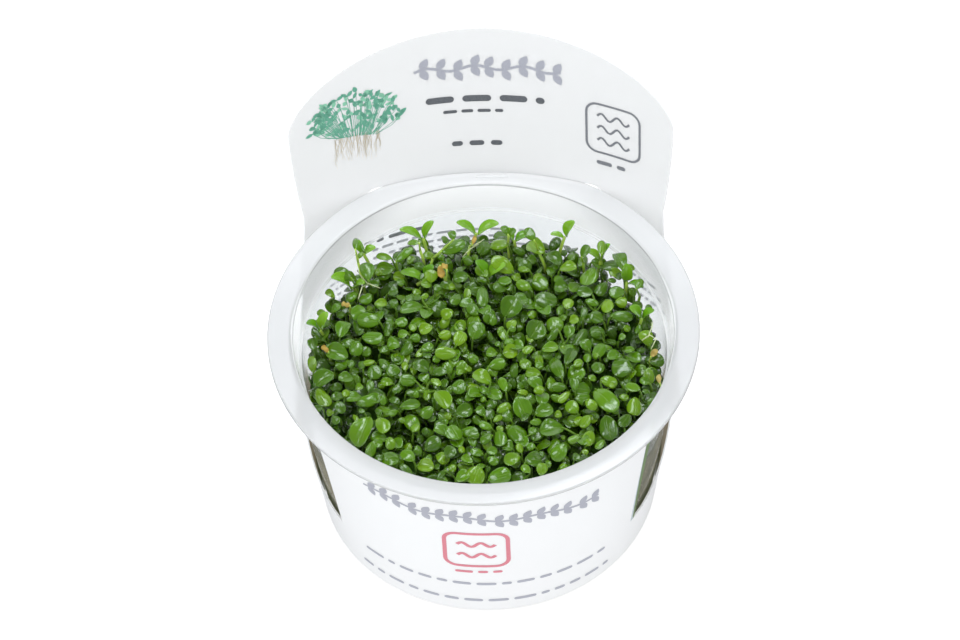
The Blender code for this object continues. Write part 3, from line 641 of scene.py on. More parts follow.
def backing_material():
    """The sheet's inner face near the windows, taupe in blotches, with a painted glow that lightens it where
    shaded.
    """
    n = new_material("taupe_backing_painted_glow")
    blotched_taupe = n.ramp(n.noise(160.0, 5.0), (0.3, (0.44, 0.38, 0.29)), (0.7, (0.62, 0.56, 0.45)))
    n.set("Base Color", blotched_taupe)
    # Painted glow, in the same taupe.
    n.glow(blotched_taupe, 0.22)
    n.set("Roughness", 0.6)
    n.bump(n.noise(900.0), 0.05 * MM)
    return n.owner


def margin_material():
    """Bare film along the edge of the print, paler and clearer than the rest of the sheet."""
    n = new_material("bare_film")
    n.set("Base Color", n.mix(n.noise(300.0), (0.60, 0.68, 0.72), (0.70, 0.76, 0.80)))
    n.rough(0.2, 0.1, 800.0)
    n.set("IOR", 1.45)
    n.bump(n.noise(700.0), 0.02 * MM)
    return n.owner


def ink_material(name, colour, glow):
    """Printed ink; glow is a painted glow for print on the side of the card that light comes through."""
    n = new_material(name)
    if glow:
        n.glow(colour, glow)
    n.set("Base Color", n.mix(n.noise(2500.0), colour, n.mix(0.12, colour, (1.0, 1.0, 1.0))))
    n.rough(0.38, 0.1, 1800.0)
    return n.owner


def medium_material():
    """Roots in set jelly: brown clouds, with a painted glow that lightens the mat where it lies in shade."""
    n = new_material("roots_in_jelly")
    cloud = n.noise(120.0, 6.0)
    colour = n.ramp(
        cloud, (0.3, (0.055, 0.04, 0.018)), (0.5, (0.13, 0.098, 0.046)), (0.7, (0.24, 0.19, 0.11))
    )
    n.set("Base Color", colour)
    # Painted glow, lightening the mat where it lies in shade.
    n.glow(n.mix(cloud, (0.13, 0.16, 0.07), (0.27, 0.30, 0.15)), 0.22)
    n.set("Roughness", 0.45)
    n.bump(n.noise(300.0, 5.0), 0.6 * MM, 0.8)
    return n.owner


def root_material(name, dark, light):
    n = new_material(name)
    n.set("Base Color", n.mix(n.noise(200.0), dark, light))
    n.set("Roughness", 0.5)
    n.bump(n.noise(1500.0), 0.05 * MM)
    return n.owner


def tangle_material():
    """The carpet's floor: the runners' dark green, darkened further as painted shade, seen only between the
    leaves.
    """
    n = new_material("dark_tangle")
    colour = n.ramp(n.noise(350.0, 5.0), (0.35, (0.018, 0.05, 0.003)), (0.6, (0.045, 0.125, 0.008)))
    n.set("Base Color", colour)
    n.set("Roughness", 0.85)
    n.set("Specular IOR Level", 0.15)
    n.bump(n.noise(500.0, 4.0), 0.8 * MM, 0.9)
    return n.owner


def link(obj):
    bpy.context.scene.collection.objects.link(obj)
    return obj


def from_bmesh(name, bm):
    mesh = bpy.data.meshes.new(name)
    bm.to_mesh(mesh)
    bm.free()
    return link(bpy.data.objects.new(name, mesh))


def give(obj, *finishes):
    """Adds materials to the object, in this order."""
    for finish in finishes:
        obj.data.materials.append(finish)


def smooth(obj, angle):
    obj.data.shade_smooth()
    obj.data.set_sharp_from_angle(angle=math.radians(angle))


def baked(obj):
    """Replaces the object's mesh by the one its modifiers leave, and removes the modifiers."""
    bpy.context.view_layer.update()
    graph = bpy.context.evaluated_depsgraph_get()
    mesh = bpy.data.meshes.new_from_object(obj.evaluated_get(graph))
    obj.modifiers.clear()
    obj.data = mesh


def cut(obj, cutter):
    boolean = obj.modifiers.new("Cut", "BOOLEAN")
    boolean.operation = "DIFFERENCE"
    boolean.object = cutter
    boolean.solver = "EXACT"
    baked(obj)
    bpy.data.objects.remove(cutter)


def rounded(outline, radius, steps):
    """The outline with its inner corners rounded, as far as their sides allow."""
    made = [outline[0]]
    for before, corner, after in zip(outline, outline[1:], outline[2:]):
        a, c, b = (Vector(p) for p in (before, corner, after))
        reach = min(radius, 0.45 * (a - c).length, 0.45 * (b - c).length)
        start = c + (a - c).normalized() * reach
        end = c + (b - c).normalized() * reach
        for i in range(steps + 1):
            t = i / steps
            made.append(tuple(start * (1 - t) ** 2 + c * 2 * t * (1 - t) + end * t**2))
    made.append(outline[-1])
    return made


def lathe(name, outline, steps, finish):
    """A closed body turned about Z from (radius, height) points whose ends lie on the axis."""
    points = [(0.0, 0.0, outline[0][1])]
    for radius, height in outline[1:-1]:
        for i in range(steps):
            turn = math.tau * i / steps
            points.append((radius * math.cos(turn), radius * math.sin(turn), height))
    points.append((0.0, 0.0, outline[-1][1]))
    rings = len(outline) - 2
    faces = []
    for i in range(steps):
        j = (i + 1) % steps
        faces.append((0, 1 + i, 1 + j))
        for k in range(rings - 1):
            low = 1 + k * steps
            faces.append((low + i, low + steps + i, low + steps + j, low + j))
        low = 1 + (rings - 1) * steps
        faces.append((low + i, len(points) - 1, low + j))
    mesh = bpy.data.meshes.new(name)
    mesh.from_pydata(points, [], faces)
    made = link(bpy.data.objects.new(name, mesh))
    give(made, finish)
    return made


def make_cup(rim_finish, wall_finish, mouth_finish, line_finish):
    """The moulded cup, with a thumb dimple in its rim and a finish for each zone."""
    outline = [
        (0.0, FLOOR_THICKNESS),
        (FLOOR_RADIUS, FLOOR_THICKNESS),
        (inner_radius(2.0 * FLOOR_THICKNESS), 2.0 * FLOOR_THICKNESS),
        (WALL_BEND_RADIUS, WALL_BEND_HEIGHT),
        (LEDGE_RADIUS, LEDGE_HEIGHT),
        (LEDGE_RADIUS + 0.5 * MM, LEDGE_HEIGHT + 0.3 * MM),
        (MOUTH_RADIUS, RIM_HEIGHT - 0.4 * MM),
        (MOUTH_RADIUS + 0.5 * MM, RIM_HEIGHT),
        (FLANGE_RADIUS - 0.2 * MM, RIM_HEIGHT),
        (FLANGE_RADIUS, RIM_HEIGHT - 0.2 * MM),
        (FLANGE_RADIUS, FLANGE_UNDERSIDE + 0.2 * MM),
        (FLANGE_RADIUS - 0.4 * MM, FLANGE_UNDERSIDE),
        (MOUTH_RADIUS + 0.9 * MM, FLANGE_UNDERSIDE),
        (MOUTH_RADIUS + 0.7 * MM, RIM_HEIGHT - 3.0 * MM),
        (LEDGE_RADIUS + 1.2 * MM, LEDGE_HEIGHT - 0.4 * MM),
        (LEDGE_RADIUS + 0.9 * MM, LEDGE_HEIGHT - 1.9 * MM),
        (WALL_BEND_RADIUS + WALL, WALL_BEND_HEIGHT),
        (FLOOR_RADIUS + 2.0 * MM, 1.5 * MM),
        (FLOOR_RADIUS + 1.8 * MM, 0.6 * MM),
        (FLOOR_RADIUS + 1.0 * MM, 0.0),
        (0.0, 0.0),
    ]
    cup = lathe("clear_cup", rounded(outline, 0.35 * MM, 3), CUP_STEPS, rim_finish)
    bm = bmesh.new()
    bmesh.ops.create_uvsphere(bm, u_segments=32, v_segments=16, radius=1.0)
    bmesh.ops.scale(bm, vec=Vector(DIMPLE_HALF_SIZES), verts=bm.verts)
    dimple = from_bmesh("dimple", bm)
    dimple.location = (*DIMPLE_CENTRE, RIM_HEIGHT)
    cut(cup, dimple)
    give(cup, wall_finish, mouth_finish, line_finish)
    for face in cup.data.polygons:
        x, y, z = face.center
        if z < LEDGE_HEIGHT - 0.1 * MM:
            face.material_index = 1
        # The thin ring at the mouth's edge: a painted shade line.
        elif math.hypot(x, y) < MOUTH_RADIUS + MOUTH_LINE_WIDTH and z > RIM_HEIGHT - MOUTH_LINE_DEPTH:
            face.material_index = 3
        elif FROST_FOOT < z < FROST_TOP:
            face.material_index = 2
    smooth(cup, 50.0)
    return cup


def cone_radius(height):
    """Inner radius of the sleeve where it hugs the cup."""
    return SLEEVE_FOOT_RADIUS + SLEEVE_TAPER * (height - SLEEVE_FOOT)


def back_line(height):
    """Distance from the axis to the sheet's inner face straight behind it, which leans back smoothly."""
    extra_slope = math.tan(PANEL_LEAN) - SLEEVE_TAPER
    bend = RIM_HEIGHT - LEAN_START
    if height < LEAN_START:
        return cone_radius(height)
    if height < RIM_HEIGHT:
        return cone_radius(height) + extra_slope * (height - LEAN_START) ** 2 / (2.0 * bend)
    return cone_radius(height) + extra_slope * (height - RIM_HEIGHT + bend / 2.0)


def sheet_radius(height):
    """Radius to which the sheet curves: the cone's at the window's foot, and the panel's at the rim."""
    if height > RIM_HEIGHT:
        return PANEL_RADIUS + math.tan(PANEL_LEAN) * (height - RIM_HEIGHT)
    share = max(0.0, (height - WINDOW_FOOT) / (RIM_HEIGHT - WINDOW_FOOT))
    blend = share * share * (3.0 - 2.0 * share)
    return 1.0 / ((1.0 - blend) / cone_radius(height) + blend / PANEL_RADIUS)


def sheet_point(along, height, proud=0.0):
    """A point of the back sheet's inner face, at a length along its arc; proud lifts it off that face."""
    radius = sheet_radius(height)
    turn = along / radius
    reach = radius - proud
    middle = back_line(height) - radius
    return Vector((reach * math.sin(turn), middle + reach * math.cos(turn), height))


def cone_point(angle, height, proud=0.0):
    """A point of the sleeve's front, at an angle from -Y towards +X."""
    radius = cone_radius(height) + proud
    return Vector((radius * math.sin(angle), -radius * math.cos(angle), height))


def window_turn(height):
    """Angle from -Y at which the front ends and a window begins."""
    rise = max(0.0, (height - WINDOW_FOOT) / (RIM_HEIGHT - WINDOW_FOOT))
    return WINDOW_ANGLE + WINDOW_FLARE * rise**1.5


def window_edge():
    """(length along the arc, height) from the window's tip up to the panel's side edge at the rim."""
    tip = (math.pi - WINDOW_ANGLE) * cone_radius(WINDOW_FOOT)
    edge = []
    for i in range(WINDOW_EDGE_STEPS + 1):
        turn = math.pi / 2.0 * (i / WINDOW_EDGE_STEPS) ** 0.9
        along = tip - (tip - PANEL_HALF_WIDTH) * math.sin(turn)
        edge.append((along, WINDOW_FOOT + (RIM_HEIGHT - WINDOW_FOOT) * (1.0 - math.cos(turn))))
    return edge


def arch_height(along):
    """Height of the panel's rounded top at a length along its arc."""
    shoulder = RIM_HEIGHT + PANEL_SHOULDER * math.cos(PANEL_LEAN)
    rise = (PANEL_PEAK - PANEL_SHOULDER) * math.cos(PANEL_LEAN)
    share = min(1.0, abs(along) / PANEL_HALF_WIDTH)
    return shoulder + rise * (1.0 - share**ARCH_POWER) ** (1.0 / ARCH_ROOT)


def panel_point(along, height):
    """A point of the panel, which widens a little above the rim; along is its length along the rim's arc."""
    slant = (height - RIM_HEIGHT) / math.cos(PANEL_LEAN)
    wider = slant * (SIDE_FLARE - SIDE_BEND * slant)
    return sheet_point(along * (1.0 + wider / PANEL_HALF_WIDTH), height)


def spread(low, high, rows):
    return [low + (high - low) * i / rows for i in range(rows + 1)]


def sleeve_faces(bm):
    """The sleeve's inner face: the back, the standing panel, the front, and the ring below the windows."""

    def column(points):
        return [bm.verts.new(point) for point in points]

    def bridge(columns):
        for left, right in zip(columns, columns[1:]):
            for i in range(len(left) - 1):
                bm.faces.new((left[i], right[i], right[i + 1], left[i + 1]))

    edge = window_edge()
    tip = edge[0][0]
    panel = [
        PANEL_HALF_WIDTH * math.sin(math.pi / 2.0 * i / PANEL_COLUMNS)
        for i in range(PANEL_COLUMNS - 1, -PANEL_COLUMNS, -1)
    ]
    tops = [*edge[1:], *((along, RIM_HEIGHT) for along in panel)]
    tops += [(-along, top) for along, top in reversed(edge[1:])]
    back = [column([sheet_point(tip, WINDOW_FOOT)])]
    for along, top in tops:
        back.append(column([sheet_point(along, z) for z in spread(WINDOW_FOOT, top, BACK_ROWS)]))
    back.append(column([sheet_point(-tip, WINDOW_FOOT)]))
    bridge(back[1:-1])
    for point, side, order in ((back[0][0], back[1], 1), (back[-1][0], back[-2], -1)):
        for i in range(BACK_ROWS):
            bm.faces.new((point, side[i], side[i + 1])[::order])
    standing = []
    lengths = [PANEL_HALF_WIDTH, *panel, -PANEL_HALF_WIDTH]
    for along, below in zip(lengths, back[len(edge) - 1 :]):
        heights = spread(RIM_HEIGHT, arch_height(along), PANEL_ROWS)
        standing.append([below[-1], *column([panel_point(along, z) for z in heights[1:]])])
    bridge(standing)
    front = []
    for i in range(FRONT_COLUMNS + 1):
        share = 2.0 * i / FRONT_COLUMNS - 1.0
        points = [cone_point(share * window_turn(z), z) for z in spread(WINDOW_FOOT, FRONT_TOP, FRONT_ROWS)]
        if abs(share) == 1.0:
            shared = back[-1][0] if share < 0.0 else back[0][0]
            front.append([shared, *column(points[1:])])
        else:
            front.append(column(points))
    bridge(front)
    ring = [points[0] for points in front] + [points[0] for points in back[1:-1]]
    foot = column([cone_point(math.atan2(above.co.x, -above.co.y), SLEEVE_FOOT) for above in ring])
    for i in range(len(ring)):
        j = (i + 1) % len(ring)
        bm.faces.new((foot[i], foot[j], ring[j], ring[i]))


def make_sleeve(outer, inner, margin, backing):
    """The sleeve as one sheet with a slot for the flange, and a finish for each of its faces."""
    bm = bmesh.new()
    sleeve_faces(bm)
    sleeve = from_bmesh("printed_sleeve", bm)
    give(sleeve, outer)
    shell = sleeve.modifiers.new("Sheet", "SOLIDIFY")
    shell.thickness = SHEET
    shell.offset = 1.0
    baked(sleeve)
    bm = bmesh.new()
    radius = FLANGE_RADIUS + SLOT_GAP
    bmesh.ops.create_cone(
        bm, cap_ends=True, segments=2 * CUP_STEPS, radius1=radius, radius2=radius, depth=2 * SLOT_HALF_HEIGHT
    )
    slot = from_bmesh("slot", bm)
    slot.location.z = (RIM_HEIGHT + FLANGE_UNDERSIDE) / 2.0
    bpy.context.view_layer.update()
    cut(sleeve, slot)
    give(sleeve, inner, margin, backing)
    for face in sleeve.data.polygons:
        x, y, z = face.center
        turn = abs(math.atan2(x, -y))
        edge_turn = window_turn(z)
        if face.normal.x * x + face.normal.y * y < 0.0 and z > WINDOW_FOOT:
            # Inner faces past the window's edge, low and short of the back, take the taupe backing with its
            # painted glow.
            face.material_index = 3 if turn > edge_turn and z < BACKING_TOP and y < BACKING_END else 1
        elif x > 0.0 and z > WINDOW_FOOT and edge_turn - MARGIN_TURN < turn <= edge_turn + 0.001:
            face.material_index = 2
    smooth(sleeve, 40.0)
    return sleeve


class Print:
    """Ink on the sleeve, as flat strokes laid just off its surface, in millimetres on the sheet."""

    def __init__(self, name, surface):
        self.name = name
        self.surface = surface
        self.points = []
        self.faces = []
        self.inks = []

    def stroke(self, places, halves, ink, closed=False):
        """A line through the places, with a half width at each."""
        count = len(places)
        start = len(self.points)
        for i, ((x, y), half) in enumerate(zip(places, halves)):
            before = places[i - 1] if i or closed else places[i]
            after = places[(i + 1) % count] if i < count - 1 or closed else places[i]
            along = Vector((after[0] - before[0], after[1] - before[1])).normalized()
            for side in (-1.0, 0.0, 1.0):
                self.points.append(self.surface(x - along.y * half * side, y + along.x * half * side))
        for i in range(count if closed else count - 1):
            j = (i + 1) % count
            for k in range(2):
                a, b = start + 3 * i + k, start + 3 * j + k
                self.faces.append((a, b, b + 1, a + 1))
                self.inks.append(ink)

    def bar(self, left, right, middle, half, ink, rise=0.0):
        """A straight bar with round ends; rise tilts it by that much over its length."""
        length = right - left
        half = min(half, length / 2.0)
        ends = [half * (1.0 - math.cos(math.pi * i / (2 * ROUND_STEPS))) for i in range(ROUND_STEPS + 1)]
        steps = int((length - 2.0 * half) / STROKE_STEP) + 1
        between = [half + (length - 2.0 * half) * i / steps for i in range(1, steps)]
        places = []
        halves = []
        for x in [*ends, *between, *(length - end for end in reversed(ends))]:
            reach = min(1.0, min(x, length - x) / half)
            places.append((left + x, middle + rise * (x / length - 0.5)))
            halves.append(half * math.sqrt(max(0.0, 1.0 - (1.0 - reach) ** 2)) + 0.01)
        self.stroke(places, halves, ink)

    def words(self, left, right, middle, half, ink, rng, longest, rise=0.0):
        """A row of bars of uneven length with small gaps."""
        x = left
        while x < right - SHORTEST_BAR:
            end = min(right, x + rng.uniform(0.35, 1.0) * longest)
            if right - end < SHORTEST_BAR:
                end = right
            lift = rise * ((x + end) / 2.0 - (left + right) / 2.0) / (right - left)
            self.bar(x, end, middle + lift, half, ink, rise * (end - x) / (right - left))
            x = end + 2.2 * half

    def leaf(self, x, y, length, width, degrees, ink):
        """A pointed leaf growing from (x, y)."""
        turn = math.radians(degrees)
        places = []
        halves = []
        for t in spread(0.0, 1.0, 8):
            places.append((x + math.cos(turn) * length * t, y + math.sin(turn) * length * t))
            halves.append(width / 2.0 * math.sin(math.pi * t) ** 0.8 * (1.15 - 0.3 * t) + 0.03)
        self.stroke(places, halves, ink)

    def sprig(self, left, right, middle, size, ink, rise=0.0):
        """A creeping stem with pairs of leaves."""
        steps = int((right - left) / STROKE_STEP)
        places = []
        for i in range(steps + 1):
            t = i / steps
            wave = 0.12 * size * math.sin(t * 19.0)
            places.append((left + (right - left) * t, middle + rise * (t - 0.5) + wave))
        self.stroke(places, [0.07 * size] * (steps + 1), ink)
        pairs = max(2, int((right - left) / (0.62 * size)))
        for i in range(pairs):
            x, y = places[min(steps, int((i + 0.6) * steps / pairs))]
            for side in (1.0, -1.0):
                self.leaf(x, y, 0.62 * size, 0.36 * size, side * 62.0, ink)

    def badge(self, left, right, low, high, half, ink, lines):
        """A rounded frame round a few waves."""
        corner = 0.2 * (right - left)
        places = []
        for x, y, first in (
            (right - corner, high - corner, 0.0),
            (left + corner, high - corner, 90.0),
            (left + corner, low + corner, 180.0),
            (right - corner, low + corner, 270.0),
        ):
            for degrees in spread(first, first + 90.0, ROUND_STEPS):
                turn = math.radians(degrees)
                places.append((x + corner * math.cos(turn), y + corner * math.sin(turn)))
        fine = []
        for a, b in zip(places, places[1:] + places[:1]):
            steps = max(1, int(math.dist(a, b) / STROKE_STEP))
            for k in range(steps):
                fine.append((a[0] + (b[0] - a[0]) * k / steps, a[1] + (b[1] - a[1]) * k / steps))
        self.stroke(fine, [half] * len(fine), ink, True)
        for row in range(lines):
            y = low + (high - low) * (row + 1.0) / (lines + 1.0)
            wave = []
            for t in spread(0.0, 1.0, 24):
                x = left + (right - left) * (0.2 + 0.6 * t)
                wave.append((x, y + 0.06 * (high - low) * math.sin(t * 4.0 * math.pi)))
            self.stroke(wave, [half * 0.95] * len(wave), ink)

    def make(self, inks):
        mesh = bpy.data.meshes.new(self.name)
        mesh.from_pydata(self.points, [], self.faces)
        mesh.polygons.foreach_set("material_index", self.inks)
        mesh.shade_smooth()
        made = link(bpy.data.objects.new(self.name, mesh))
        give(made, *inks)
        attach(made, "root")


def draw_tuft(panel, rng):
    """A leafy tuft on thin roots, drawn at the panel's left."""
    for _ in range(TUFT_STALKS):
        x = TUFT_MIDDLE + rng.uniform(-11.0, 11.0)
        side = x - TUFT_MIDDLE
        y = rng.uniform(18.5 + 0.012 * side**2, 30.0 - 0.045 * side**2) - 0.16 * side
        foot = (TUFT_MIDDLE + side * 0.45, 17.0 - 0.1 * side)
        panel.stroke([foot, ((x * 2.0 + foot[0]) / 3.0, y - 2.0), (x, y)], [0.07] * 3, TEAL)
        degrees = rng.uniform(10.0, 170.0)
        for turn in (degrees, degrees + rng.uniform(90.0, 160.0)):
            length, width = rng.uniform(1.2, 2.1), rng.uniform(0.7, 1.15)
            panel.leaf(x, y, length, width, turn, rng.choice((TEAL, TEAL, MINT)))
    for _ in range(TUFT_ROOTS):
        side = rng.uniform(-5.5, 5.5)
        places = [(TUFT_MIDDLE + side, 17.4 - 0.1 * side)]
        for _ in range(rng.randint(5, 10)):
            last = places[-1]
            places.append((last[0] + rng.uniform(-0.45, 0.45), last[1] - rng.uniform(0.5, 1.1)))
        panel.stroke(places, [0.08 - 0.006 * i for i in range(len(places))], TAN)


def make_prints():
    """The print on the panel, on the sheet's inner face behind the cup, and on the sleeve's front."""
    inks = [ink_material(*row) for row in INKS]
    rng = random.Random(23)

    def on_panel(along, slant):
        return sheet_point(along * MM, RIM_HEIGHT + slant * MM * math.cos(PANEL_LEAN), INK)

    def inside_back(along, height):
        return sheet_point(along * MM, height * MM, INK)

    def on_front(along, height):
        radius = cone_radius(height * MM)
        return cone_point(along * MM / radius, height * MM, SHEET + INK)

    panel = Print("panel_print", on_panel)
    panel.sprig(-15.5, 19.0, 31.0, 5.6, PALE)
    panel.words(-13.0, 15.0, 22.2, 0.9, DARK, rng, 7.0)
    panel.words(-9.0, 7.0, 18.6, 0.45, DARK, rng, 4.5)
    panel.words(-7.2, 7.4, 9.2, 0.7, DARK, rng, 5.5)
    panel.badge(25.0, 38.4, 10.5, 24.3, 0.3, GREY, 3)
    panel.words(27.4, 37.0, 7.6, 0.55, GREY, rng, 6.0)
    draw_tuft(panel, rng)
    panel.make(inks)

    inside = Print("inside_print", inside_back)
    inside.words(-30.0, -12.0, 41.6, 0.55, HEADING, rng, 4.6)
    for height in (39.2, 37.0, 34.8):
        inside.words(-28.0, 11.0, height, 0.38, PALE_GREY_GLOWING, rng, 4.2)
    for height in (35.8, 34.3, 32.8, 31.3):
        inside.words(-40.6, -36.0, height, 0.26, PALE_GREY_GLOWING, rng, 1.9)
    for left, right, height in ((37.0, 45.0, 36.4), (38.0, 47.5, 34.6), (39.0, 49.5, 32.8)):
        inside.words(left, right, height, 0.26, HEADING, rng, 2.2)
    inside.make(inks)

    front = Print("front_print", on_front)
    front.sprig(-29.5, 27.5, 43.2, 5.2, PALE, -4.8)
    front.badge(-9.6, 5.0, 21.5, 36.5, 0.5, ROSE, 2)
    front.words(-7.5, 3.5, 18.8, 0.5, ROSE, rng, 6.0)
    front.words(-31.0, 29.5, 13.0, 0.55, PALE, rng, 5.5, -0.6)
    front.words(-32.5, 30.5, 5.2, 0.55, PALE, rng, 5.5, -0.6)
    halves = spread(0.3, 0.9, 24)
    edge = []
    for height, half in zip(spread(14.6, 53.8, 24), halves):
        edge.append((window_turn(height * MM) * cone_radius(height * MM) / MM - half - 0.05, height))
    front.stroke(edge, halves, GREEN)
    front.make(inks)


class Growth:
    """Collects many leaves and stems into one mesh, with a tone for each and a UV map along the blade."""

    def __init__(self):
        self.points = []
        self.faces = []
        self.finishes = []
        self.tones = []
        self.blade = []
        self.count = 0

    def add(self, points, faces, finish, tone, blade):
        self.points.append(points)
        self.faces.append(faces + self.count)
        self.finishes.append(np.full(len(faces), finish))
        self.tones.append(np.full(len(points), tone))
        self.blade.append(blade)
        self.count += len(points)

    def make(self, name, *finishes):
        faces = np.concatenate(self.faces)
        mesh = bpy.data.meshes.new(name)
        mesh.from_pydata(np.concatenate(self.points).tolist(), [], faces.tolist())
        mesh.polygons.foreach_set("material_index", np.concatenate(self.finishes).astype(np.int32))
        mesh.attributes.new("tone", "FLOAT", "POINT")
        mesh.attributes["tone"].data.foreach_set("value", np.concatenate(self.tones).astype(np.float32))
        blade = np.concatenate(self.blade)[faces.ravel()]
        mesh.uv_layers.new(name="blade").data.foreach_set("uv", blade.ravel().astype(np.float32))
        mesh.shade_smooth()
        made = link(bpy.data.objects.new(name, mesh))
        give(made, *finishes)
        return made


def blade_plan(rows, columns):
    """Grid of a closed blade: places along and across, underside flags, and faces."""
    along = (1.0 - np.cos(np.pi * np.arange(rows + 1) / rows)) / 2.0
    across = -np.cos(np.pi * np.arange(columns + 1) / columns)
    top = np.arange((rows + 1) * (columns + 1)).reshape(rows + 1, columns + 1)
    under = top.copy()
    inner = np.arange((rows - 1) * (columns - 1)).reshape(rows - 1, columns - 1)
    under[1:-1, 1:-1] = inner + top.size
    u, v = np.meshgrid(along, across, indexing="ij")
    u_all = np.concatenate([u.ravel(), u[1:-1, 1:-1].ravel()])
    v_all = np.concatenate([v.ravel(), v[1:-1, 1:-1].ravel()])
    flags = np.concatenate([np.zeros(top.size), np.ones(inner.size)])

    def quads(grid):
        return np.stack([grid[:-1, :-1], grid[1:, :-1], grid[1:, 1:], grid[:-1, 1:]], -1).reshape(-1, 4)

    faces = np.concatenate([quads(top), quads(under)[:, ::-1]])
    return u_all, v_all, flags, faces


FINE_BLADE = blade_plan(12, 8)
COARSE_BLADE = blade_plan(6, 4)


def add_leaf(growth, plan, centre, along, normal, length, width, cup, arch, tone, finish=0):
    """A spoon-shaped blade, folded a little along its midrib: widest past the middle, with a round tip."""
    u, v, flags, faces = plan
    before = np.clip(u / WIDEST, 0.0, 1.0)
    after = np.clip((u - WIDEST) / (1.0 - WIDEST), 0.0, 1.0)
    narrow = (1.0 - np.clip(1.0 - before, 0.0, 1.0) ** 1.9) ** 0.72
    half = np.where(u < WIDEST, BASE_WIDTH + (1.0 - BASE_WIDTH) * narrow, (1.0 - after**2.3) ** 0.5)
    half = np.maximum(half, BASE_WIDTH)
    thick = (0.12 * MM + 0.035 * width) * np.sqrt(np.clip(1.0 - v**2, 0.0, 1.0))
    thick = thick * (0.35 + 0.65 * np.sin(np.pi * np.clip(u, 0.0, 1.0)) ** 0.5)
    x = (u - 0.5) * length
    y = v * half * width / 2.0
    fold = 0.05 + 0.13 * math.modf(tone * 7.3)[0]
    ripple = SHRIVEL if finish == WITHERED else RIPPLE
    z = cup * width * 0.5 * (v * half) ** 2 - arch * length * (u - 0.45) ** 2 * 2.0
    z = z + fold * width * (np.sqrt((v * half) ** 2 + 0.02) - 0.5)
    z = z + ripple * width * np.sin(9.0 * u + 40.0 * tone) * v * half
    z = z + np.where(flags > 0.5, -thick, thick)
    side = np.cross(normal, along)
    points = centre + np.outer(x, along) + np.outer(y, side) + np.outer(z, normal)
    growth.add(points, faces, finish, tone, np.stack([0.5 + v / 2.0, u], 1))


def add_tube(growth, places, radii, tone, finish=STEM):
    """A closed six-sided stem through the places."""
    places = np.asarray(places)
    rings = []
    for place, direction, radius in zip(places, np.gradient(places, axis=0), radii):
        direction = unit(direction)
        helper = UP if abs(direction[2]) < 0.9 else np.array((1.0, 0.0, 0.0))
        first = unit(np.cross(direction, helper))
        second = np.cross(direction, first)
        turn = np.arange(STEM_SIDES) * math.tau / STEM_SIDES
        rings.append(place + radius * (np.outer(np.cos(turn), first) + np.outer(np.sin(turn), second)))
    count = len(places)
    grid = np.arange(count * STEM_SIDES).reshape(count, STEM_SIDES)
    following = np.roll(grid, -1, axis=1)
    faces = np.stack([grid[:-1], following[:-1], following[1:], grid[1:]], -1).reshape(-1, 4)
    cap = np.array([[0, 3, 2, 1], [0, 5, 4, 3]])
    faces = np.concatenate([faces, cap, (count - 1) * STEM_SIDES + cap[:, ::-1]])
    blade = np.tile(np.array([[0.2, 0.5]]), (count * STEM_SIDES, 1))
    growth.add(np.concatenate(rings), faces, finish, tone, blade)


def curve(start, pull, end, steps):
    t = np.linspace(0.0, 1.0, steps + 1)[:, None]
    return start * (1 - t) ** 2 + pull * 2 * t * (1 - t) + end * t**2


def kept_inside(point, reach, height):
    """The point moved towards the axis until it is clear of the cup's wall."""
    limit = inner_radius(min(height, LEDGE_HEIGHT)) - WALL_CLEARANCE - reach
    distance = math.hypot(point[0], point[1])
    if distance > limit:
        point = point.copy()
        point[:2] *= limit / distance
    return point


def photo_leaf(row, centre, rng):
    """A leaf's frame and size from its length, width and direction in the picture."""
    length, width, degrees = row[2:5]
    lean = np.array((rng.uniform(-0.32, 0.32), rng.uniform(-0.3, 0.3), 0.0))
    normal = unit(0.42 * CAMERA_BACK + 0.62 * UP + lean)
    metres = np.dot(np.array(CAMERA_PLACE) - centre, CAMERA_BACK) / FOCAL_PIXELS
    turn = math.radians(degrees)

    def lifted(right, up):
        flat = CAMERA_RIGHT * right + CAMERA_UP * up
        return flat - CAMERA_BACK * np.dot(flat, normal) / np.dot(CAMERA_BACK, normal)

    ahead = lifted(math.cos(turn), -math.sin(turn)) * length * metres
    beside = lifted(math.sin(turn), math.cos(turn)) * width * metres
    along = unit(ahead)
    side = np.cross(normal, along)
    return centre, along, normal, np.linalg.norm(ahead), 1.06 * abs(np.dot(beside, side))


def add_petiole(growth, base, along, foot, tone):
    """A leaf's stalk from the blade's base down to where it joins."""
    pull = base - along * 0.45 * MM - UP * 0.5 * MM
    places = curve(foot, pull, base + along * 0.5 * MM, len(PETIOLE_RADII) - 1)
    add_tube(growth, places, PETIOLE_RADII, tone * 0.65)


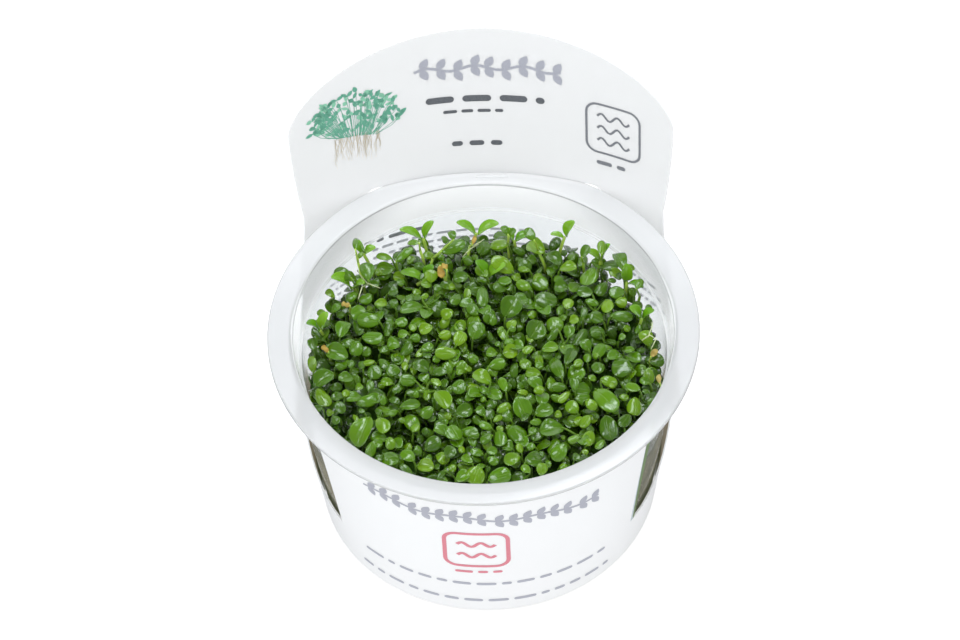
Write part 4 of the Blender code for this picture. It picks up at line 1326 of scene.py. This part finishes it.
def grow_layers(feet, groups, rng):
    """The carpet's two layers of measured leaves; those near a low plantlet's foot go to its group."""
    layers = []
    for level, table in ((TOP_LEVEL, TOP_LEAVES), (UNDER_LEVEL, UNDER_LEAVES)):
        layer = Growth()
        layers.append(layer)
        for row in table:
            height = (level + rng.uniform(-0.7, 0.7)) * MM
            centre, along, normal, length, width = photo_leaf(row, at_height(row, height), rng)
            centre = kept_inside(centre, 0.36 * length, height)
            cup = rng.uniform(0.22, 0.5) * rng.choice((-1.0, -1.0, 1.0))
            arch, tone = rng.uniform(0.0, 0.22), rng.uniform(0.1, 0.95)
            shape = (centre, along, normal, length, width, cup, arch, tone)
            base = centre - along * length / 2.0
            near = min(range(len(feet)), key=lambda k: np.linalg.norm(feet[k][:2] - base[:2]))
            close = np.linalg.norm(feet[near][:2] - base[:2]) < LOW_REACH
            if level == TOP_LEVEL and close and len(groups[near]) < MOST_LEAVES:
                groups[near].append(shape)
                continue
            add_leaf(layer, FINE_BLADE, *shape)
            foot = base - along * rng.uniform(0.2, 0.9) * MM - UP * rng.uniform(3.0, 5.0) * MM
            foot = kept_inside(foot, 0.3 * MM, foot[2])
            add_petiole(layer, base, along, foot, rng.uniform(0.2, 0.9))
    return layers


def make_low_plantlets(feet, groups, leaf, stem, rng):
    """A short stem on each foot, with the leaves of its group and a few more where there are too few."""
    for number, (foot, group) in enumerate(zip(feet, groups), 1):
        plant = Growth()
        top = foot + UP * LOW_TOP
        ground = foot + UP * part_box(f"low_shoot_{number:02d}")[0].z
        steps = len(LOW_STEM_RADII) - 1
        add_tube(plant, curve(ground, (ground + top) / 2.0, top, steps), LOW_STEM_RADII, 0.5)
        quarter = rng.uniform(0.0, math.pi / 2.0)
        while len(group) < LEAST_LEAVES:
            angle = quarter + len(group) * 2.2
            along = unit(np.array((math.cos(angle), math.sin(angle), rng.uniform(0.1, 0.5))))
            side = unit(np.cross(UP, along))
            centre = top + along * 2.4 * MM
            group.append((centre, along, np.cross(along, side), 4.2 * MM, 3.2 * MM, 0.3, 0.1, 0.5))
        for shape in group:
            add_leaf(plant, FINE_BLADE, *shape)
            base = shape[0] - shape[1] * shape[3] / 2.0
            add_petiole(plant, base, shape[1], top - UP * 0.6 * MM, rng.uniform(0.3, 0.9))
        made = plant.make(f"low_plantlet_{number:02d}", leaf, stem)
        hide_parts(f"low_shoot_{number:02d}")
        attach(made, "root")


def make_tall_plantlets(leaf, stem, rng):
    """The plantlets along the back and the sides, each a stem with two leaves."""
    for number, (foot_place, top_place, leaves) in enumerate(TALL_SHOOTS, 1):
        plant = Growth()
        top = np.array(top_place) * MM
        ground = np.array((*foot_place, 0.0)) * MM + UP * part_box(f"tall_shoot_{number:02d}")[0].z
        pull = ground * 0.7 + top * 0.3
        pull[2] = (ground[2] + top[2]) / 2.0
        add_tube(plant, curve(ground, pull, top, 7), np.linspace(0.5, 0.36, 8) * MM, 0.95)
        for tip, width in leaves:
            tip = np.array(tip) * MM
            line = tip - top
            along = unit(line)
            side = np.cross(along, UP)
            side = unit(side) if np.linalg.norm(side) > 0.3 else np.array((1.0, 0.0, 0.0))
            normal = unit(np.cross(side, along))
            length = np.linalg.norm(line) * 1.02
            centre = (top + tip) / 2.0
            tone = rng.uniform(0.4, 1.0)
            add_leaf(plant, FINE_BLADE, centre, along, normal, length, width * MM, 0.5, 0.2, tone)
        made = plant.make(f"tall_plantlet_{number:02d}", leaf, stem)
        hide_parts(f"tall_shoot_{number:02d}")
        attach(made, "root")


def grow_filler(rng):
    """Many small plain leaves below the measured ones, half of them on stalks."""
    deep = Growth()
    for _ in range(FILLER_COUNT):
        radius = FILLER_RADIUS * math.sqrt(rng.random())
        turn = rng.uniform(0.0, math.tau)
        height = rng.uniform(36.5, 42.6) * MM
        length = rng.uniform(2.6, 4.6) * MM
        centre = np.array((radius * math.cos(turn), radius * math.sin(turn), height))
        centre = kept_inside(centre, 0.4 * length, height)
        angle = rng.uniform(0.0, math.tau)
        along = unit(np.array((math.cos(angle), math.sin(angle), rng.uniform(-0.3, 0.8))))
        lean = np.array((rng.uniform(-0.6, 0.6), rng.uniform(-0.6, 0.6), 1.0))
        normal = np.cross(along, unit(np.cross(lean, along)))
        width = length * rng.uniform(0.6, 0.85)
        cup, arch, tone = rng.uniform(-0.4, 0.5), rng.uniform(0.0, 0.2), rng.uniform(0.0, 0.7)
        add_leaf(deep, COARSE_BLADE, centre, along, normal, length, width, cup, arch, tone)
        if rng.random() < 0.5:
            base = centre - along * length / 2.0
            foot = base + np.array((rng.uniform(-1.0, 1.0), rng.uniform(-1.0, 1.0), -3.0)) * MM
            foot = kept_inside(foot, 0.3 * MM, foot[2])
            add_petiole(deep, base, along, foot, rng.uniform(0.1, 0.6))
    return deep


def make_edge_sprigs(leaf, stem, withered, pale_root, rng):
    """The sprigs and withered leaves along the carpet's edge, and the loose roots."""
    edge = Growth()
    for foot_pixel, bends, leaves, tone in SPRIGS:
        foot = at_height(foot_pixel, SPRIG_FOOT)
        depth = foot[1]
        way = [foot] + [at_depth(bend, depth) for bend in bends]
        top = way[-1]
        for row in leaves:
            centre, along, normal, length, width = photo_leaf(row, at_depth(row, depth), rng)
            centre = kept_inside(centre, 0.3 * length, centre[2])
            cup = rng.uniform(0.25, 0.5) * rng.choice((-1.0, 1.0))
            arch, leaf_tone = rng.uniform(0.05, 0.3), rng.uniform(0.3, 0.95)
            finish = WITHERED if len(row) > 5 else GREEN_LEAF
            add_leaf(edge, FINE_BLADE, centre, along, normal, length, width, cup, arch, leaf_tone, finish)
            base = centre - along * length * 0.48
            places = curve(top, (top + base) / 2.0 - UP * 0.3 * MM, base, 4)
            add_tube(edge, places, np.linspace(0.31, 0.2, 5) * MM, tone)
        down = [kept_inside(foot - UP * drop * MM, 0.8 * MM, foot[2]) for drop in (6.0, 3.0)]
        points = [*down, *way]
        add_tube(edge, points, np.linspace(0.45, 0.33, len(points)) * MM, tone)
    for pixels in LOOSE_ROOTS:
        places = [at_height(pixel, LOOSE_ROOT_HEIGHT) for pixel in pixels]
        places = [kept_inside(place, 0.4 * MM, place[2]) for place in places]
        places[0] = places[0] - UP * 1.6 * MM
        places[-1] = places[-1] - UP * 1.2 * MM
        add_tube(edge, places, np.linspace(0.17, 0.12, len(places)) * MM, 1.0, PALE_ROOT)
    made = edge.make("edge_sprigs", leaf, stem, withered, pale_root)
    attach(made, "root")


def make_bed(finish):
    """The dark floor of runners under the leaves, its darkness partly painted shade."""
    outline = [(0.0, BED_TOP)]
    for radius in range(1, 41, 2):
        outline.append((radius * MM, BED_TOP))
    outline += [(41.1 * MM, 35.4 * MM), (40.9 * MM, MAT_TOP + 0.8 * MM)]
    outline += [(38.0 * MM, MAT_TOP + 0.1 * MM), (0.0, MAT_TOP + 0.1 * MM)]
    bed = lathe("tangled_runners", outline, BED_STEPS, finish)
    for vertex in bed.data.vertices:
        if vertex.co.z > 35.0 * MM:
            vertex.co.z += BED_LUMPS * noise.noise(vertex.co / LUMP_SIZE)
    smooth(bed, 80.0)
    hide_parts("leaf_carpet")
    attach(bed, "root")


def make_plants(leaf, withered, young_leaf, stem, tangle, pale_root):
    rng = random.Random(11)
    feet = [np.array((x, y, 0.0)) * MM for x, y in LOW_FEET]
    groups = [[] for _ in feet]
    carpet, middle = grow_layers(feet, groups, rng)
    make_low_plantlets(feet, groups, leaf, stem, rng)
    make_tall_plantlets(young_leaf, stem, rng)
    deep = grow_filler(rng)
    make_edge_sprigs(leaf, stem, withered, pale_root, rng)
    for name, layer in (("carpet_leaves", carpet), ("middle_leaves", middle), ("deep_leaves", deep)):
        made = layer.make(name, leaf, stem)
        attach(made, "root")
    make_bed(tangle)


def make_roots(medium, root):
    """The mat of roots in jelly, with pale threads on its side."""
    outline = [(0.0, MAT_TOP - 0.4 * MM), (38.0 * MM, MAT_TOP - 0.4 * MM)]
    for height in (31.2, 29.0, 27.0, 25.0, 22.0, 19.0, 16.0, 13.0, 10.0, 7.0, 4.0, 2.4):
        outline.append((inner_radius(height * MM) + 0.06 * MM, height * MM))
    outline += [(FLOOR_RADIUS, FLOOR_THICKNESS - 0.05 * MM), (0.0, FLOOR_THICKNESS - 0.05 * MM)]
    mat = lathe("roots_and_jelly", outline, CUP_STEPS, medium)
    smooth(mat, 50.0)
    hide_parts("root_mat")
    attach(mat, "root")
    rng = random.Random(5)
    threads = Growth()
    for _ in range(THREAD_COUNT):
        turn = rng.uniform(0.0, math.tau)
        height = rng.uniform(6.0, 31.0) * MM
        places = []
        for _ in range(THREAD_POINTS):
            radius = inner_radius(height) - 0.02 * MM
            places.append((radius * math.cos(turn), radius * math.sin(turn), height))
            turn += rng.uniform(-0.035, 0.035)
            height = max(2.2 * MM, height - rng.uniform(0.3, 1.6) * MM)
        radii = np.full(THREAD_POINTS, rng.uniform(0.08, 0.16)) * MM
        add_tube(threads, places, radii, rng.random(), 0)
    made = threads.make("root_threads", root)
    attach(made, "root")


def make_floor():
    n = new_material("pale_floor")
    n.set("Base Color", (0.5, 0.5, 0.505))
    n.set("Roughness", 0.7)
    n.glow((1.0, 1.0, 1.0), FLOOR_GLOW)
    bm = bmesh.new()
    bmesh.ops.create_grid(bm, x_segments=2, y_segments=2, size=FLOOR_REACH)
    floor = from_bmesh("floor", bm)
    give(floor, n.owner)
    floor.visible_glossy = False


def make_studio():
    """The floor, soft light from the world and four lamps, and the camera."""
    make_floor()
    world = bpy.data.worlds.new("studio")
    n = Nodes(world, "Background")
    way = n.axes(n.add("TexCoord").outputs["Generated"])[1]
    level = n.map_range(way, -0.3, 0.3, FRONT_LIGHT, BACK_LIGHT, "LINEAR")
    reflected = n.add("LightPath").outputs["Is Glossy Ray"]
    weaker = n.map_range(reflected, 0.0, 1.0, 1.0, REFLECTED_LIGHT, "LINEAR")
    n.set("Strength", n.maths("MULTIPLY", level, weaker))
    n.set("Color", (0.985, 0.992, 1.0))
    bpy.context.scene.world = world
    for name, place, size, power in LAMPS:
        light = bpy.data.lights.new(name, "AREA")
        light.shape = "RECTANGLE"
        light.size, light.size_y = size
        light.energy = power
        light.color = (0.88, 0.95, 1.0)
        lamp = link(bpy.data.objects.new(name, light))
        lamp.location = place
        lamp.rotation_euler = (-Vector(place)).to_track_quat("-Z", "Y").to_euler()
    camera = bpy.data.cameras.new("camera")
    camera.lens = LENS
    camera.sensor_width = SENSOR
    view = link(bpy.data.objects.new("camera", camera))
    view.location = CAMERA_PLACE
    view.rotation_euler = CAMERA_TURN
    bpy.context.scene.camera = view
    bpy.context.scene.view_settings.view_transform = "Standard"


def main():
    cup = make_cup(
        # The milky rim's plastic carries a painted glow.
        plastic_material("milky_clear_plastic", (0.82, 0.82, 0.825), 0.45, 1.4, 0.1),
        plastic_material("thin_clear_plastic", (0.93, 0.95, 0.965), 0.95, 1.06),
        plastic_material("frosted_clear_plastic", (0.97, 0.975, 0.98), 0.86, 1.06),
        # A darker copy of the rim's plastic, for the painted shade line at the mouth.
        plastic_material("shaded_clear_plastic", (0.58, 0.585, 0.59), 0.4, 1.4),
    )
    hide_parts("cup")
    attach(cup, "root")
    outside = sheet_material("coated_card", 0.0, 0.91)
    # The standing panel and inner faces: darker than the outer card where it stands free, a painted shade
    # against the light it gets from behind.
    inner = sheet_material("card_panel", 1.0, 0.545)
    sleeve = make_sleeve(outside, inner, margin_material(), backing_material())
    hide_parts("label_sleeve")
    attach(sleeve, "root")
    make_prints()
    make_roots(medium_material(), root_material("root_threads", (0.34, 0.27, 0.17), (0.62, 0.56, 0.44)))
    green = leaf_material(
        "leaf_green", (0.026, 0.085, 0.001), (0.082, 0.218, 0.001), (0.175, 0.335, 0.002), 0.3
    )
    young = leaf_material("leaf_young", (0.05, 0.20, 0.002), (0.12, 0.34, 0.004), (0.25, 0.50, 0.02), 0.8)
    pale_root = root_material("pale_roots", (0.58, 0.70, 0.28), (0.82, 0.86, 0.58))
    make_plants(green, withered_material(), young, stem_material(), tangle_material(), pale_root)
    make_studio()


main()
